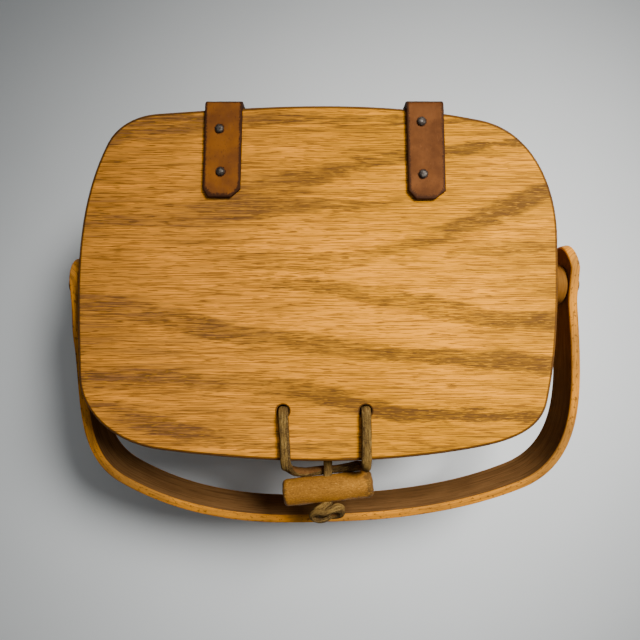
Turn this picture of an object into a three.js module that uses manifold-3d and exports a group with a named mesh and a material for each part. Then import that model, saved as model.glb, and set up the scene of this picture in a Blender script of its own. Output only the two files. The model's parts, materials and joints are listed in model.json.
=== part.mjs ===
// A lidded basket: a woven body held in bentwood hoops, an oak lid on two leather strap hinges,
// a swing handle on rivets, and a wooden peg that holds a leather loop shut at the front.
// Millimetres, +Z up. The origin is the centre of the bottom face, and the front is -Y.
import * as THREE from "three";
import { mergeVertices } from "three/addons/utils/BufferGeometryUtils.js";
import Module from "manifold-3d";

const wasm = await Module();
wasm.setup();

// Gap between pieces that touch or turn on each other
const GAP = 0.3;

// Rim: the outer face of the outer hoop. A pull says how far a side runs on towards its corner
// before it turns, as a share of the way along X and of the way along Y.
const RIM_TOP = 107.7;
const RIM_HALF_WIDTH = 118.5;
const RIM_HALF_DEPTH = 88.6;
const RIM_REAR_PULL = [0.75, 1.03];
const RIM_FRONT_PULL = [0.84, 0.86];

// Hoops and the reed between them
const OUTER_HOOP_THICKNESS = 4.2;
const OUTER_HOOP_HEIGHT = 24;
const INNER_HOOP_THICKNESS = 3.6;
const INNER_HOOP_HEIGHT = 20;
const HOOP_EDGE = 0.8;
const FILLER_HEIGHT = 2.4;
const FILLER_CROWN = 1;

// Woven wall: how far it draws in below the hoops, and how fast
const WALL_THICKNESS = 2.6;
const WALL_DRAW_IN = 16;
const WALL_CURVE = 1.7;

// Base board: a lip under the wall and a plug inside it
const BASE_LIP_HEIGHT = 4;
const BASE_PLUG_HEIGHT = 8;
const BASE_EDGE = 1;

// Lid: the places where a corner starts or ends, counterclockwise from the rear left, and the way
// that the edge runs there, in degrees from +X
const LID_THICKNESS = 7;
const LID_EDGE = 1.2;
const LID_PLACES = [
  [-85, 86.3],
  [-110.7, 71.1],
  [-125.4, -47],
  [-84, -85.5],
  [75, -84.9],
  [114, -61],
  [119.1, 23.5],
  [80, 83],
];
const LID_WAYS = [184, 243, 271, 352.6, 370, 438, 451, 528.4];

// Strap hinges: a leaf on the lid, a bend behind it and a leaf down the rim
const STRAP_SPACING = 101.6;
const STRAP_WIDTH = 19;
const STRAP_SPLAY = 1.6;
const STRAP_THICKNESS = 2.2;
const STRAP_PAST_RIM = 1.5;
const STRAP_INNER_BEND = 1.5;
const STRAP_REAR_DROP = 28;
const STRAP_REAR_CLIP = 4;
const LEFT_STRAP_LENGTH = 49.4;
const LEFT_STRAP_CLIPS = [2.6, 4.9];
const LEFT_STRAP_NAILS = [[15, -2.1], [36.6, -1.6]];
const RIGHT_STRAP_LENGTH = 50.4;
const RIGHT_STRAP_CLIPS = [3.9, 5.6];
const RIGHT_STRAP_NAILS = [[11.3, -1.8], [37.8, -1]];
const STRAPS = [
  { side: "left", sign: -1, length: LEFT_STRAP_LENGTH, clips: LEFT_STRAP_CLIPS, nails: LEFT_STRAP_NAILS },
  { side: "right", sign: 1, length: RIGHT_STRAP_LENGTH, clips: RIGHT_STRAP_CLIPS, nails: RIGHT_STRAP_NAILS },
];
const STRAP_CLIP_DEPTH = 4.2;
const STRAP_REAR_NAIL_DROPS = [10.7, 17.6];

// Nails
const NAIL_HEAD_RADIUS = 2.2;
const NAIL_HEAD_HEIGHT = 1.1;
const NAIL_SHANK_RADIUS = 0.8;
const NAIL_POINT = 1.2;
const LID_NAIL_DEPTH = 4.5;
const INNER_HOOP_NAIL_DEPTH = 2;
const PLUG_NAIL_DEPTH = 6;
const RIM_NAIL_DROP = 12;
const RIM_NAIL_PLACES = [0.125, 0.19, 0.31, 0.375, 0.45, 0.55, 0.625, 0.69, 0.81, 0.875];
const BASE_NAIL_PLACES = [0.06, 0.17, 0.33, 0.44, 0.56, 0.67, 0.83, 0.94];
const BASE_NAIL_RISE = 3.2;

// Handle: a bent band. The places are on its middle line in its own plane, across and forwards of
// the rivets, from the right leg to the left, with the way that it runs there.
const BAND_THICKNESS = 4.8;
const BAND_WIDTH = 24;
const BAND_EDGE = 1;
const PIVOT_DROP = 11.5;
const HANDLE_DROOP = 12.6;
const LEG_STRAIGHT = 6.5;
const BOW_PLACES = [
  [111.5, -113],
  [-22.5, -134.5],
  [-113.5, -110],
  [-131.5, -28.5],
];
const BOW_WAYS = [-156, -180, -213, -267];
const BOW_START_WAY = -82;
const BOW_END_WAY = -270;
const RIGHT_LEG_BEYOND = 21;
const LEFT_LEG_BEYOND = 14.2;
const LEG_END_LEAN = 0.1;

// Ear discs, rivets and their washers
const EAR_DISC_THICKNESS = 9.1;
const EAR_DISC_RADIUS = 11;
const EAR_DISC_EDGE = 1.5;
const RIVET_RADIUS = 2.5;
const RIVET_HEAD_RADIUS = 6.5;
const RIVET_HEAD_HEIGHT = 4.5;
const RIVET_TAIL_RADIUS = 3.8;
const RIVET_TAIL_LENGTH = 1.3;
const BURR_RADIUS = 5.5;
const BURR_THICKNESS = 1;
const BURR_EDGE = 0.2;

// Peg and its lace: the lace runs straight along Y from the rim through the peg
const TOGGLE_X = 2;
const TOGGLE_DROP = 6.7;
const PEG_PAST_RIM = 20.3;
const PEG_LENGTH = 47.8;
const PEG_RADIUS = 7;
const PEG_YAW = 6.2;
const PEG_END_FLAT_RADIUS = 3.4;
const PEG_END_LENGTH = 3.2;
const TOGGLE_LACE_RADIUS = 1.8;
const FRONT_KNOT_RADIUS = 7.5;
const FRONT_KNOT_LENGTH = 11;
const INNER_KNOT_RADIUS = 4.5;
const INNER_KNOT_LENGTH = 7.5;
const KNOT_FULLNESS = 0.6;

// Loop lace: from under the left hole over the lid, behind the peg, and back to the right hole
const LACE_HOLE_RADIUS = 3.175;
const LACE_HOLE_SPACING = 42.2;
const LACE_HOLE_INSET = 23.2;
const LOOP_LACE_RADIUS = 2.1;
const LOOP_ROUTE = [
  [-20.9, -65.4, 103.5],
  [-20.9, -65.4, 107],
  [-20.9, -65.4, 111],
  [-20.9, -65.4, 114.6],
  [-20.8, -67, 117],
  [-20.7, -70, 117.4],
  [-20.5, -74, 117.4],
  [-20.1, -80, 117.4],
  [-19.8, -86, 117.4],
  [-19.6, -90.4, 117.3],
  [-19.4, -92.6, 116.4],
  [-19.2, -94, 114.4],
  [-18.9, -95.2, 111],
  [-18.3, -97.2, 106.6],
  [-15.5, -99.6, 102],
  [-10.5, -100.9, 98.8],
  [-4.5, -100.2, 97],
  [2, -98.9, 96.5],
  [7.5, -98.4, 96.9],
  [13.5, -97.7, 98.4],
  [18.2, -96.8, 101.6],
  [20.5, -96, 106],
  [21.2, -95.1, 111],
  [21.3, -94, 114.4],
  [21.3, -92.6, 116.4],
  [21.3, -90.4, 117.3],
  [21.3, -86, 117.4],
  [21.3, -80, 117.4],
  [21.3, -74, 117.4],
  [21.2, -70, 117.4],
  [21.1, -67, 117],
  [21.1, -65.4, 114.6],
  [21.1, -65.4, 111],
  [21.1, -65.4, 107],
  [21.1, -65.4, 103.5],
];

// Smoothness: steps along a quarter of the rim, a side or corner of the lid, a bend of the handle,
// the wall's height, a dome, a knot and the loop lace, and sides of round pieces
const QUARTER_STEPS = 12;
const LID_STEPS = 8;
const BEND_STEPS = 10;
const WALL_STEPS = 5;
const DOME_STEPS = 3;
const KNOT_STEPS = 6;
const LOOP_LACE_STEPS = 48;
const ROUND_SIDES = 24;
const SMALL_SIDES = 8;

// How far a cutting shape runs past what it cuts
const CUT_MARGIN = 1;

// Sizes that follow from the ones above
const HOOP_BOTTOM = RIM_TOP - OUTER_HOOP_HEIGHT;
const WALL_BOTTOM = BASE_LIP_HEIGHT + GAP;
const WALL_TOP = RIM_TOP - FILLER_HEIGHT - GAP;
const WALL_FACE = OUTER_HOOP_THICKNESS + GAP;
const INNER_HOOP_FACE = WALL_FACE + WALL_THICKNESS + GAP;
const RIM_DEPTH = INNER_HOOP_FACE + INNER_HOOP_THICKNESS;
const LID_BOTTOM = RIM_TOP + GAP;
const LID_TOP = LID_BOTTOM + LID_THICKNESS;
const STRAP_INNER_FACE = RIM_HALF_DEPTH + STRAP_PAST_RIM;
const STRAP_OUTER_FACE = STRAP_INNER_FACE + STRAP_THICKNESS;
const PIVOT_Z = RIM_TOP - PIVOT_DROP;
const PIVOT_X = RIM_HALF_WIDTH + GAP + EAR_DISC_THICKNESS + GAP + BAND_THICKNESS / 2;
const TOGGLE_Z = RIM_TOP - TOGGLE_DROP;
const PEG_Y = RIM_HALF_DEPTH + PEG_PAST_RIM;
const FRONT_KNOT_START = PEG_Y + PEG_RADIUS + GAP;
const FRONT_KNOT_END = FRONT_KNOT_START + FRONT_KNOT_LENGTH;

const SIDES = { left: -1, right: 1 };

const MATERIALS = {
  oak: new THREE.MeshStandardMaterial({ color: 0xb97a2f, roughness: 0.45 }),
  bentwood: new THREE.MeshStandardMaterial({ color: 0xa8692b, roughness: 0.5 }),
  splint: new THREE.MeshStandardMaterial({ color: 0xb5813f, roughness: 0.65 }),
  pegWood: new THREE.MeshStandardMaterial({ color: 0xb07a35, roughness: 0.5 }),
  strapLeather: new THREE.MeshStandardMaterial({ color: 0x8c4f28, roughness: 0.55 }),
  laceLeather: new THREE.MeshStandardMaterial({ color: 0x75592c, roughness: 0.85 }),
  nailSteel: new THREE.MeshStandardMaterial({ color: 0x4a4643, roughness: 0.4, metalness: 0.9 }),
  rivetMetal: new THREE.MeshStandardMaterial({ color: 0x3d2a20, roughness: 0.45, metalness: 0.8 }),
};

const basket = new THREE.Group();

function addPiece(parent, name, geometry, material) {
  const mesh = new THREE.Mesh(geometry, material);
  mesh.name = name;
  parent.add(mesh);
  return mesh;
}

// Solids as closed meshes, for joining and cutting

function toSolid(geometry) {
  const bare = geometry.index ? geometry.toNonIndexed() : geometry.clone();
  bare.deleteAttribute("normal");
  bare.deleteAttribute("uv");
  const merged = mergeVertices(bare, 1e-4);
  return new wasm.Manifold(new wasm.Mesh({
    numProp: 3,
    vertProperties: new Float32Array(merged.attributes.position.array),
    triVerts: new Uint32Array(merged.index.array),
  }));
}

function toGeometry(solid) {
  const mesh = solid.getMesh();
  const geometry = new THREE.BufferGeometry();
  geometry.setAttribute("position", new THREE.BufferAttribute(mesh.vertProperties, 3));
  geometry.setIndex(new THREE.BufferAttribute(mesh.triVerts, 1));
  geometry.computeVertexNormals();
  return geometry;
}

function cut(geometry, tools) {
  let solid = toSolid(geometry);
  for (const tool of tools) {
    solid = solid.subtract(toSolid(tool));
  }
  return toGeometry(solid);
}

// A straight drill from one point to another
function drill(from, to, radius, sides = SMALL_SIDES) {
  const direction = to.clone().sub(from);
  const geometry = new THREE.CylinderGeometry(radius, radius, direction.length(), sides);
  const turn = new THREE.Quaternion().setFromUnitVectors(
    new THREE.Vector3(0, 1, 0), direction.clone().normalize());
  const middle = from.clone().add(to).multiplyScalar(0.5);
  geometry.applyQuaternion(turn);
  geometry.translate(middle.x, middle.y, middle.z);
  return geometry;
}

// A smooth line through places. Each span is nearly an arc between the ways at its ends.

function ahead(place, way, distance) {
  const angle = THREE.MathUtils.degToRad(way);
  return new THREE.Vector2(Math.cos(angle), Math.sin(angle)).multiplyScalar(distance).add(place);
}

function spanPoints(from, fromWay, to, toWay, steps) {
  const quarterTurn = THREE.MathUtils.degToRad(toWay - fromWay) / 4;
  const pull = from.distanceTo(to) / (3 * Math.cos(quarterTurn) ** 2);
  const curve = new THREE.CubicBezierCurve(
    from, ahead(from, fromWay, pull), ahead(to, toWay, -pull), to);
  return curve.getSpacedPoints(steps);
}

function linePoints(places, ways, steps) {
  const points = places.map(([x, y]) => new THREE.Vector2(x, y));
  const spans = points.slice(1).map((to, i) => spanPoints(points[i], ways[i], to, ways[i + 1], steps));
  return [points[0], ...spans.flatMap((span) => span.slice(1))];
}

// The rim's outline, counterclockwise from the rear

function quarterPoints(end, side, [along, across], steps) {
  const curve = new THREE.CubicBezierCurve(
    end,
    new THREE.Vector2(end.x + along * (side.x - end.x), end.y),
    new THREE.Vector2(side.x, side.y + across * (end.y - side.y)),
    side);
  return curve.getSpacedPoints(steps);
}

function outlinePoints(peaks, pulls, steps) {
  const quarters = [
    quarterPoints(peaks.rear, peaks.left, pulls.rearLeft, steps),
    quarterPoints(peaks.front, peaks.left, pulls.frontLeft, steps).reverse(),
    quarterPoints(peaks.front, peaks.right, pulls.frontRight, steps),
    quarterPoints(peaks.rear, peaks.right, pulls.rearRight, steps).reverse(),
  ];
  return quarters.flatMap((points) => points.slice(0, -1));
}

function outwardNormal(loop, i) {
  const next = loop[(i + 1) % loop.length];
  const previous = loop[(i + loop.length - 1) % loop.length];
  return new THREE.Vector2(next.y - previous.y, previous.x - next.x).normalize();
}

function insetLoop(loop, distance) {
  return loop.map((point, i) => point.clone().addScaledVector(outwardNormal(loop, i), -distance));
}

const rimLoop = outlinePoints(
  {
    rear: new THREE.Vector2(0, RIM_HALF_DEPTH),
    left: new THREE.Vector2(-RIM_HALF_WIDTH, 0),
    front: new THREE.Vector2(0, -RIM_HALF_DEPTH),
    right: new THREE.Vector2(RIM_HALF_WIDTH, 0),
  },
  {
    rearLeft: RIM_REAR_PULL,
    rearRight: RIM_REAR_PULL,
    frontLeft: RIM_FRONT_PULL,
    frontRight: RIM_FRONT_PULL,
  },
  QUARTER_STEPS);

// A place on the rim's outline, as a share of the way round from the rear peak
function rimPlace(share) {
  const station = Math.round(share * rimLoop.length) % rimLoop.length;
  const normal = outwardNormal(rimLoop, station);
  return { point: rimLoop[station], normal: new THREE.Vector3(normal.x, normal.y, 0) };
}

// Skins a row of loops, each [inset from the rim, height], with a strip between neighbours.
// A closed row makes a ring, and an open one gets a flat cap at each end.
function skinRimLoops(profile, closed) {
  const count = rimLoop.length;
  const loops = profile.map(([inset, z]) =>
    insetLoop(rimLoop, inset).map((point) => new THREE.Vector3(point.x, point.y, z)));
  const positions = loops.flat().flatMap((point) => [point.x, point.y, point.z]);
  const faces = [];
  const strips = closed ? loops.length : loops.length - 1;
  for (let j = 0; j < strips; j += 1) {
    const low = j * count;
    const high = ((j + 1) % loops.length) * count;
    for (let i = 0; i < count; i += 1) {
      const k = (i + 1) % count;
      faces.push(low + i, low + k, high + k);
      faces.push(low + i, high + k, high + i);
    }
  }
  if (!closed) {
    const last = (loops.length - 1) * count;
    for (const [a, b, c] of THREE.ShapeUtils.triangulateShape(loops[0], [])) {
      faces.push(a, c, b);
    }
    for (const [a, b, c] of THREE.ShapeUtils.triangulateShape(loops[loops.length - 1], [])) {
      faces.push(last + a, last + b, last + c);
    }
  }
  const geometry = new THREE.BufferGeometry();
  geometry.setAttribute("position", new THREE.Float32BufferAttribute(positions, 3));
  geometry.setIndex(faces);
  geometry.computeVertexNormals();
  return geometry;
}

// Round pieces, turned about +Y from a list of [radius, height] and then aimed

function turned(profile, sides) {
  return new THREE.LatheGeometry(profile.map(([r, y]) => new THREE.Vector2(r, y)), sides);
}

// A quarter of an ellipse, from a radius at a height in to the axis
function dome(radius, from, height) {
  const points = [];
  for (let i = 0; i < DOME_STEPS; i += 1) {
    const angle = Math.PI / 2 * i / DOME_STEPS;
    points.push([radius * Math.cos(angle), from + height * Math.sin(angle)]);
  }
  return [...points, [0, from + height]];
}

function ringProfile(inner, outer, height, edge) {
  return [
    [inner, 0],
    [outer - edge, 0],
    [outer, edge],
    [outer, height - edge],
    [outer - edge, height],
    [inner, height],
    [inner, 0],
  ];
}

// Nails: a domed head above a shank with a point

function nailGeometry(shankLength) {
  const profile = [
    [0, -shankLength],
    [NAIL_SHANK_RADIUS, NAIL_POINT - shankLength],
    [NAIL_SHANK_RADIUS, 0],
    ...dome(NAIL_HEAD_RADIUS, 0, NAIL_HEAD_HEIGHT),
  ];
  return turned(profile, SMALL_SIDES);
}

function aim(mesh, place, outward) {
  mesh.position.copy(place);
  mesh.quaternion.setFromUnitVectors(new THREE.Vector3(0, 1, 0), outward.clone().normalize());
}

// Every nail as its head's seat, the way out and the length of its shank
const nails = [];

function planNail(name, seat, outward, shankLength) {
  nails.push({ name, seat, outward: outward.clone().normalize(), shankLength });
}

function nailHoles(names) {
  return nails
    .filter((nail) => names.test(nail.name))
    .map(({ seat, outward, shankLength }) => drill(
      seat.clone().addScaledVector(outward, NAIL_HEAD_HEIGHT),
      seat.clone().addScaledVector(outward, -shankLength - GAP),
      NAIL_SHANK_RADIUS + GAP));
}

const HOOPS_NAIL_DEPTH = INNER_HOOP_FACE + INNER_HOOP_NAIL_DEPTH;
const UP = new THREE.Vector3(0, 0, 1);
const REARWARD = new THREE.Vector3(0, 1, 0);

RIM_NAIL_PLACES.forEach((share, i) => {
  const { point, normal } = rimPlace(share);
  const seat = new THREE.Vector3(point.x, point.y, RIM_TOP - RIM_NAIL_DROP).addScaledVector(normal, GAP);
  planNail(`rim_nail_${i + 1}`, seat, normal, HOOPS_NAIL_DEPTH + GAP);
});

STRAPS.forEach(({ sign, nails: places }, i) => {
  const x = sign * STRAP_SPACING / 2;
  places.forEach(([fromRear, aside], j) => {
    const seat = new THREE.Vector3(
      x + aside, STRAP_OUTER_FACE - fromRear, LID_TOP + GAP + STRAP_THICKNESS + GAP);
    planNail(`lid_nail_${2 * i + j + 1}`, seat, UP, LID_NAIL_DEPTH + STRAP_THICKNESS + 2 * GAP);
  });
  STRAP_REAR_NAIL_DROPS.forEach((drop, j) => {
    const seat = new THREE.Vector3(x, STRAP_OUTER_FACE + GAP, RIM_TOP - drop);
    const depth = seat.y - RIM_HALF_DEPTH + HOOPS_NAIL_DEPTH;
    planNail(`strap_nail_${2 * i + j + 1}`, seat, REARWARD, depth);
  });
});

// Woven wall

function wallInset(z) {
  const fall = Math.max(0, (HOOP_BOTTOM - z) / (HOOP_BOTTOM - WALL_BOTTOM));
  return WALL_FACE + WALL_DRAW_IN * fall ** WALL_CURVE;
}

function wallLevels() {
  const levels = [];
  for (let i = 0; i <= WALL_STEPS; i += 1) {
    levels.push(WALL_BOTTOM + (HOOP_BOTTOM - WALL_BOTTOM) * i / WALL_STEPS);
  }
  levels.push(WALL_TOP);
  return levels;
}

BASE_NAIL_PLACES.forEach((share, i) => {
  const z = WALL_BOTTOM + BASE_NAIL_RISE;
  const slope = wallInset(z) - wallInset(z + 1);
  const { point, normal } = rimPlace(share);
  const outward = normal.clone().addScaledVector(UP, -slope).normalize();
  const seat = new THREE.Vector3(point.x, point.y, z)
    .addScaledVector(normal, -wallInset(z))
    .addScaledVector(outward, GAP);
  planNail(`base_nail_${i + 1}`, seat, outward, WALL_THICKNESS + 2 * GAP + PLUG_NAIL_DEPTH);
});

// The holes for the rivets and for the peg's lace, right through the rim
function rimThroughHoles() {
  const span = PIVOT_X + BAND_THICKNESS;
  const rivets = drill(
    new THREE.Vector3(-span, 0, PIVOT_Z),
    new THREE.Vector3(span, 0, PIVOT_Z),
    RIVET_RADIUS + GAP,
    ROUND_SIDES / 2);
  const lace = drill(
    new THREE.Vector3(TOGGLE_X, 0, TOGGLE_Z),
    new THREE.Vector3(TOGGLE_X, -RIM_HALF_DEPTH - BAND_WIDTH, TOGGLE_Z),
    TOGGLE_LACE_RADIUS + GAP);
  return [rivets, lace];
}

function wovenWall() {
  const levels = wallLevels();
  const outside = levels.map((z) => [wallInset(z), z]);
  const inside = levels.map((z) => [wallInset(z) + WALL_THICKNESS, z]).reverse();
  return cut(skinRimLoops([...outside, ...inside], true),
    [...rimThroughHoles(), ...nailHoles(/^(rim|strap|base)_nail/)]);
}

// Hoops with softened edges on the side away from the wall

function rimHoopOuter() {
  const profile = [
    [0, HOOP_BOTTOM + HOOP_EDGE],
    [0, RIM_TOP - HOOP_EDGE],
    [HOOP_EDGE, RIM_TOP],
    [OUTER_HOOP_THICKNESS, RIM_TOP],
    [OUTER_HOOP_THICKNESS, HOOP_BOTTOM],
    [HOOP_EDGE, HOOP_BOTTOM],
  ];
  return cut(skinRimLoops(profile, true), [...rimThroughHoles(), ...nailHoles(/^(rim|strap)_nail/)]);
}

function rimHoopInner() {
  const bottom = RIM_TOP - INNER_HOOP_HEIGHT;
  const profile = [
    [INNER_HOOP_FACE, bottom],
    [INNER_HOOP_FACE, RIM_TOP],
    [RIM_DEPTH - HOOP_EDGE, RIM_TOP],
    [RIM_DEPTH, RIM_TOP - HOOP_EDGE],
    [RIM_DEPTH, bottom + HOOP_EDGE],
    [RIM_DEPTH - HOOP_EDGE, bottom],
  ];
  return cut(skinRimLoops(profile, true), [...rimThroughHoles(), ...nailHoles(/^(rim|strap)_nail/)]);
}

function rimFiller() {
  const shoulder = RIM_TOP - FILLER_CROWN;
  const bottom = RIM_TOP - FILLER_HEIGHT;
  const inner = WALL_FACE + WALL_THICKNESS;
  return skinRimLoops([
    [WALL_FACE, bottom],
    [WALL_FACE, shoulder],
    [WALL_FACE + WALL_THICKNESS / 2, RIM_TOP],
    [inner, shoulder],
    [inner, bottom],
  ], true);
}

function baseBoard() {
  const lip = wallInset(WALL_BOTTOM);
  const top = BASE_LIP_HEIGHT + BASE_PLUG_HEIGHT;
  const plug = (z) => wallInset(z) + WALL_THICKNESS + GAP;
  const profile = [
    [lip + BASE_EDGE, 0],
    [lip, BASE_EDGE],
    [lip, BASE_LIP_HEIGHT],
    [plug(BASE_LIP_HEIGHT), BASE_LIP_HEIGHT],
    [plug(top - BASE_EDGE), top - BASE_EDGE],
    [plug(top) + BASE_EDGE, top],
  ];
  return cut(skinRimLoops(profile, false), nailHoles(/^base_nail/));
}

// Lid: a board with a softened edge, two lace holes and the nails' holes

const LACE_HOLE_Y = -RIM_HALF_DEPTH + LACE_HOLE_INSET;

function laceHole(sign) {
  const x = sign * LACE_HOLE_SPACING / 2;
  return drill(
    new THREE.Vector3(x, LACE_HOLE_Y, LID_BOTTOM - LID_THICKNESS),
    new THREE.Vector3(x, LACE_HOLE_Y, LID_TOP + LID_THICKNESS),
    LACE_HOLE_RADIUS,
    ROUND_SIDES);
}

function oakLid() {
  const outline = linePoints([...LID_PLACES, LID_PLACES[0]], [...LID_WAYS, LID_WAYS[0] + 360], LID_STEPS);
  outline.pop();
  const board = new THREE.ExtrudeGeometry(new THREE.Shape(outline), {
    depth: LID_THICKNESS - 2 * LID_EDGE,
    bevelThickness: LID_EDGE,
    bevelSize: LID_EDGE,
    bevelOffset: -LID_EDGE,
    bevelSegments: 2,
  });
  board.translate(0, 0, LID_BOTTOM + LID_EDGE);
  return cut(board, [laceHole(-1), laceHole(1), ...nailHoles(/^lid_nail/)]);
}

// Strap: its side profile drawn out along X, then trimmed to its plan

const ALONG_X = new THREE.Matrix4().makeBasis(
  new THREE.Vector3(0, 1, 0), new THREE.Vector3(0, 0, 1), new THREE.Vector3(1, 0, 0));
const ALONG_Y = new THREE.Matrix4().makeBasis(
  new THREE.Vector3(1, 0, 0), new THREE.Vector3(0, 0, 1), new THREE.Vector3(0, -1, 0));

// Plan of a strap: its front corners are clipped, and it leans sideways towards the front
function strapPlan(left, right, front, clips, lean) {
  const back = STRAP_OUTER_FACE + CUT_MARGIN;
  const corner = (x, y) => new THREE.Vector2(x + lean * (back - y), y);
  return new THREE.Shape([
    corner(left + clips[0], front),
    corner(right - clips[1], front),
    corner(right, front + STRAP_CLIP_DEPTH),
    corner(right, back),
    corner(left, back),
    corner(left, front + STRAP_CLIP_DEPTH),
  ]);
}

// The triangle that clips a corner of the rear leaf, drawn out along Y
function rearCornerCut(x, bottom, inward) {
  const reach = STRAP_REAR_CLIP + CUT_MARGIN;
  const triangle = new THREE.ExtrudeGeometry(
    new THREE.Shape([
      new THREE.Vector2(x - inward * CUT_MARGIN, bottom - CUT_MARGIN),
      new THREE.Vector2(x + inward * reach, bottom - CUT_MARGIN),
      new THREE.Vector2(x - inward * CUT_MARGIN, bottom + reach),
    ]),
    { depth: STRAP_THICKNESS + 2 * CUT_MARGIN, bevelEnabled: false });
  triangle.applyMatrix4(ALONG_Y);
  triangle.translate(0, STRAP_OUTER_FACE + CUT_MARGIN, 0);
  return triangle;
}

function hingeStrap({ sign, length, clips }) {
  const lean = sign * Math.tan(THREE.MathUtils.degToRad(STRAP_SPLAY));
  const left = sign * STRAP_SPACING / 2 - STRAP_WIDTH / 2;
  const right = left + STRAP_WIDTH;
  const under = LID_TOP + GAP;
  const front = STRAP_OUTER_FACE - length;
  const bottom = LID_TOP - STRAP_REAR_DROP;
  const bendY = STRAP_INNER_FACE - STRAP_INNER_BEND;
  const bendZ = under - STRAP_INNER_BEND;
  const side = new THREE.Shape();
  side.moveTo(front - CUT_MARGIN, under);
  side.lineTo(bendY, under);
  side.absarc(bendY, bendZ, STRAP_INNER_BEND, Math.PI / 2, 0, true);
  side.lineTo(STRAP_INNER_FACE, bottom);
  side.lineTo(STRAP_OUTER_FACE, bottom);
  side.lineTo(STRAP_OUTER_FACE, bendZ);
  side.absarc(bendY, bendZ, STRAP_INNER_BEND + STRAP_THICKNESS, 0, Math.PI / 2, false);
  side.lineTo(front - CUT_MARGIN, under + STRAP_THICKNESS);
  const strip = new THREE.ExtrudeGeometry(side, {
    depth: 2 * STRAP_WIDTH,
    bevelEnabled: false,
    curveSegments: 6,
  });
  strip.applyMatrix4(ALONG_X);
  strip.translate(left - STRAP_WIDTH / 2, 0, 0);
  const plan = new THREE.ExtrudeGeometry(
    strapPlan(left, right, front, clips, lean),
    { depth: LID_TOP + STRAP_WIDTH, bevelEnabled: false });
  const outline = toSolid(strip).intersect(toSolid(plan));
  return cut(toGeometry(outline), [
    rearCornerCut(left, bottom, 1),
    rearCornerCut(right, bottom, -1),
    ...nailHoles(/^(lid|strap)_nail/),
  ]);
}

// Handle, drawn flat in its own group: across is X, forwards is -Y and the band's width is Z

// Middle line of the band, from the right leg's end to the left leg's
function bowLine() {
  const bow = linePoints(
    [[PIVOT_X, -LEG_STRAIGHT], ...BOW_PLACES, [-PIVOT_X, -LEG_STRAIGHT]],
    [BOW_START_WAY, ...BOW_WAYS, BOW_END_WAY],
    BEND_STEPS);
  const lean = LEG_END_LEAN * (RIGHT_LEG_BEYOND - EAR_DISC_RADIUS);
  return [
    new THREE.Vector2(PIVOT_X - lean, RIGHT_LEG_BEYOND),
    new THREE.Vector2(PIVOT_X, EAR_DISC_RADIUS),
    ...bow,
    new THREE.Vector2(-PIVOT_X, LEFT_LEG_BEYOND),
  ];
}

function offsetLine(points, distance) {
  return points.map((point, i) => {
    const next = points[Math.min(i + 1, points.length - 1)];
    const previous = points[Math.max(i - 1, 0)];
    const along = next.clone().sub(previous).normalize();
    return new THREE.Vector2(point.x + along.y * distance, point.y - along.x * distance);
  });
}

// The view of one leg from the side: a long strip with a round end, drawn out past the middle
function legSideView(sign, beyond) {
  const half = BAND_WIDTH / 2;
  const view = new THREE.Shape();
  view.moveTo(-2 * PIVOT_X, -half);
  view.lineTo(beyond - half, -half);
  view.absarc(beyond - half, 0, half, -Math.PI / 2, Math.PI / 2, false);
  view.lineTo(-2 * PIVOT_X, half);
  const solid = new THREE.ExtrudeGeometry(view, {
    depth: 2 * PIVOT_X,
    bevelEnabled: false,
    curveSegments: ROUND_SIDES / 2,
  });
  solid.applyMatrix4(ALONG_X);
  solid.translate(sign * (PIVOT_X - BAND_WIDTH) - PIVOT_X, 0, 0);
  return solid;
}

function handleBow() {
  const line = bowLine();
  const outer = offsetLine(line, -BAND_THICKNESS / 2);
  const inner = offsetLine(line, BAND_THICKNESS / 2).reverse();
  const band = new THREE.ExtrudeGeometry(new THREE.Shape([...outer, ...inner]), {
    depth: BAND_WIDTH - 2 * BAND_EDGE,
    bevelThickness: BAND_EDGE,
    bevelSize: BAND_EDGE,
    bevelOffset: -BAND_EDGE,
    bevelSegments: 1,
  });
  band.translate(0, 0, BAND_EDGE - BAND_WIDTH / 2);
  const sides = toSolid(legSideView(1, RIGHT_LEG_BEYOND)).add(toSolid(legSideView(-1, LEFT_LEG_BEYOND)));
  const rivets = drill(
    new THREE.Vector3(-2 * PIVOT_X, 0, 0),
    new THREE.Vector3(2 * PIVOT_X, 0, 0),
    RIVET_RADIUS + GAP,
    ROUND_SIDES / 2);
  return toGeometry(toSolid(band).intersect(sides).subtract(toSolid(rivets)));
}

// Discs between rim and handle, and the rivets through them

function earDisc() {
  return turned(
    ringProfile(RIVET_RADIUS + GAP, EAR_DISC_RADIUS, EAR_DISC_THICKNESS, EAR_DISC_EDGE), ROUND_SIDES);
}

function rivetBurr() {
  return turned(ringProfile(RIVET_RADIUS + GAP, BURR_RADIUS, BURR_THICKNESS, BURR_EDGE), ROUND_SIDES / 2);
}

// A rivet from its peened tail inside the rim to its domed head outside the handle
function pivotRivet() {
  const head = PIVOT_X + BAND_THICKNESS / 2 + GAP;
  const tail = RIM_HALF_WIDTH - RIM_DEPTH - GAP - BURR_THICKNESS - GAP;
  const profile = [
    ...dome(RIVET_TAIL_RADIUS, tail, -RIVET_TAIL_LENGTH).reverse(),
    [RIVET_RADIUS, tail],
    [RIVET_RADIUS, head],
    ...dome(RIVET_HEAD_RADIUS, head, RIVET_HEAD_HEIGHT),
  ];
  return turned(profile, ROUND_SIDES / 2);
}

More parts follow.
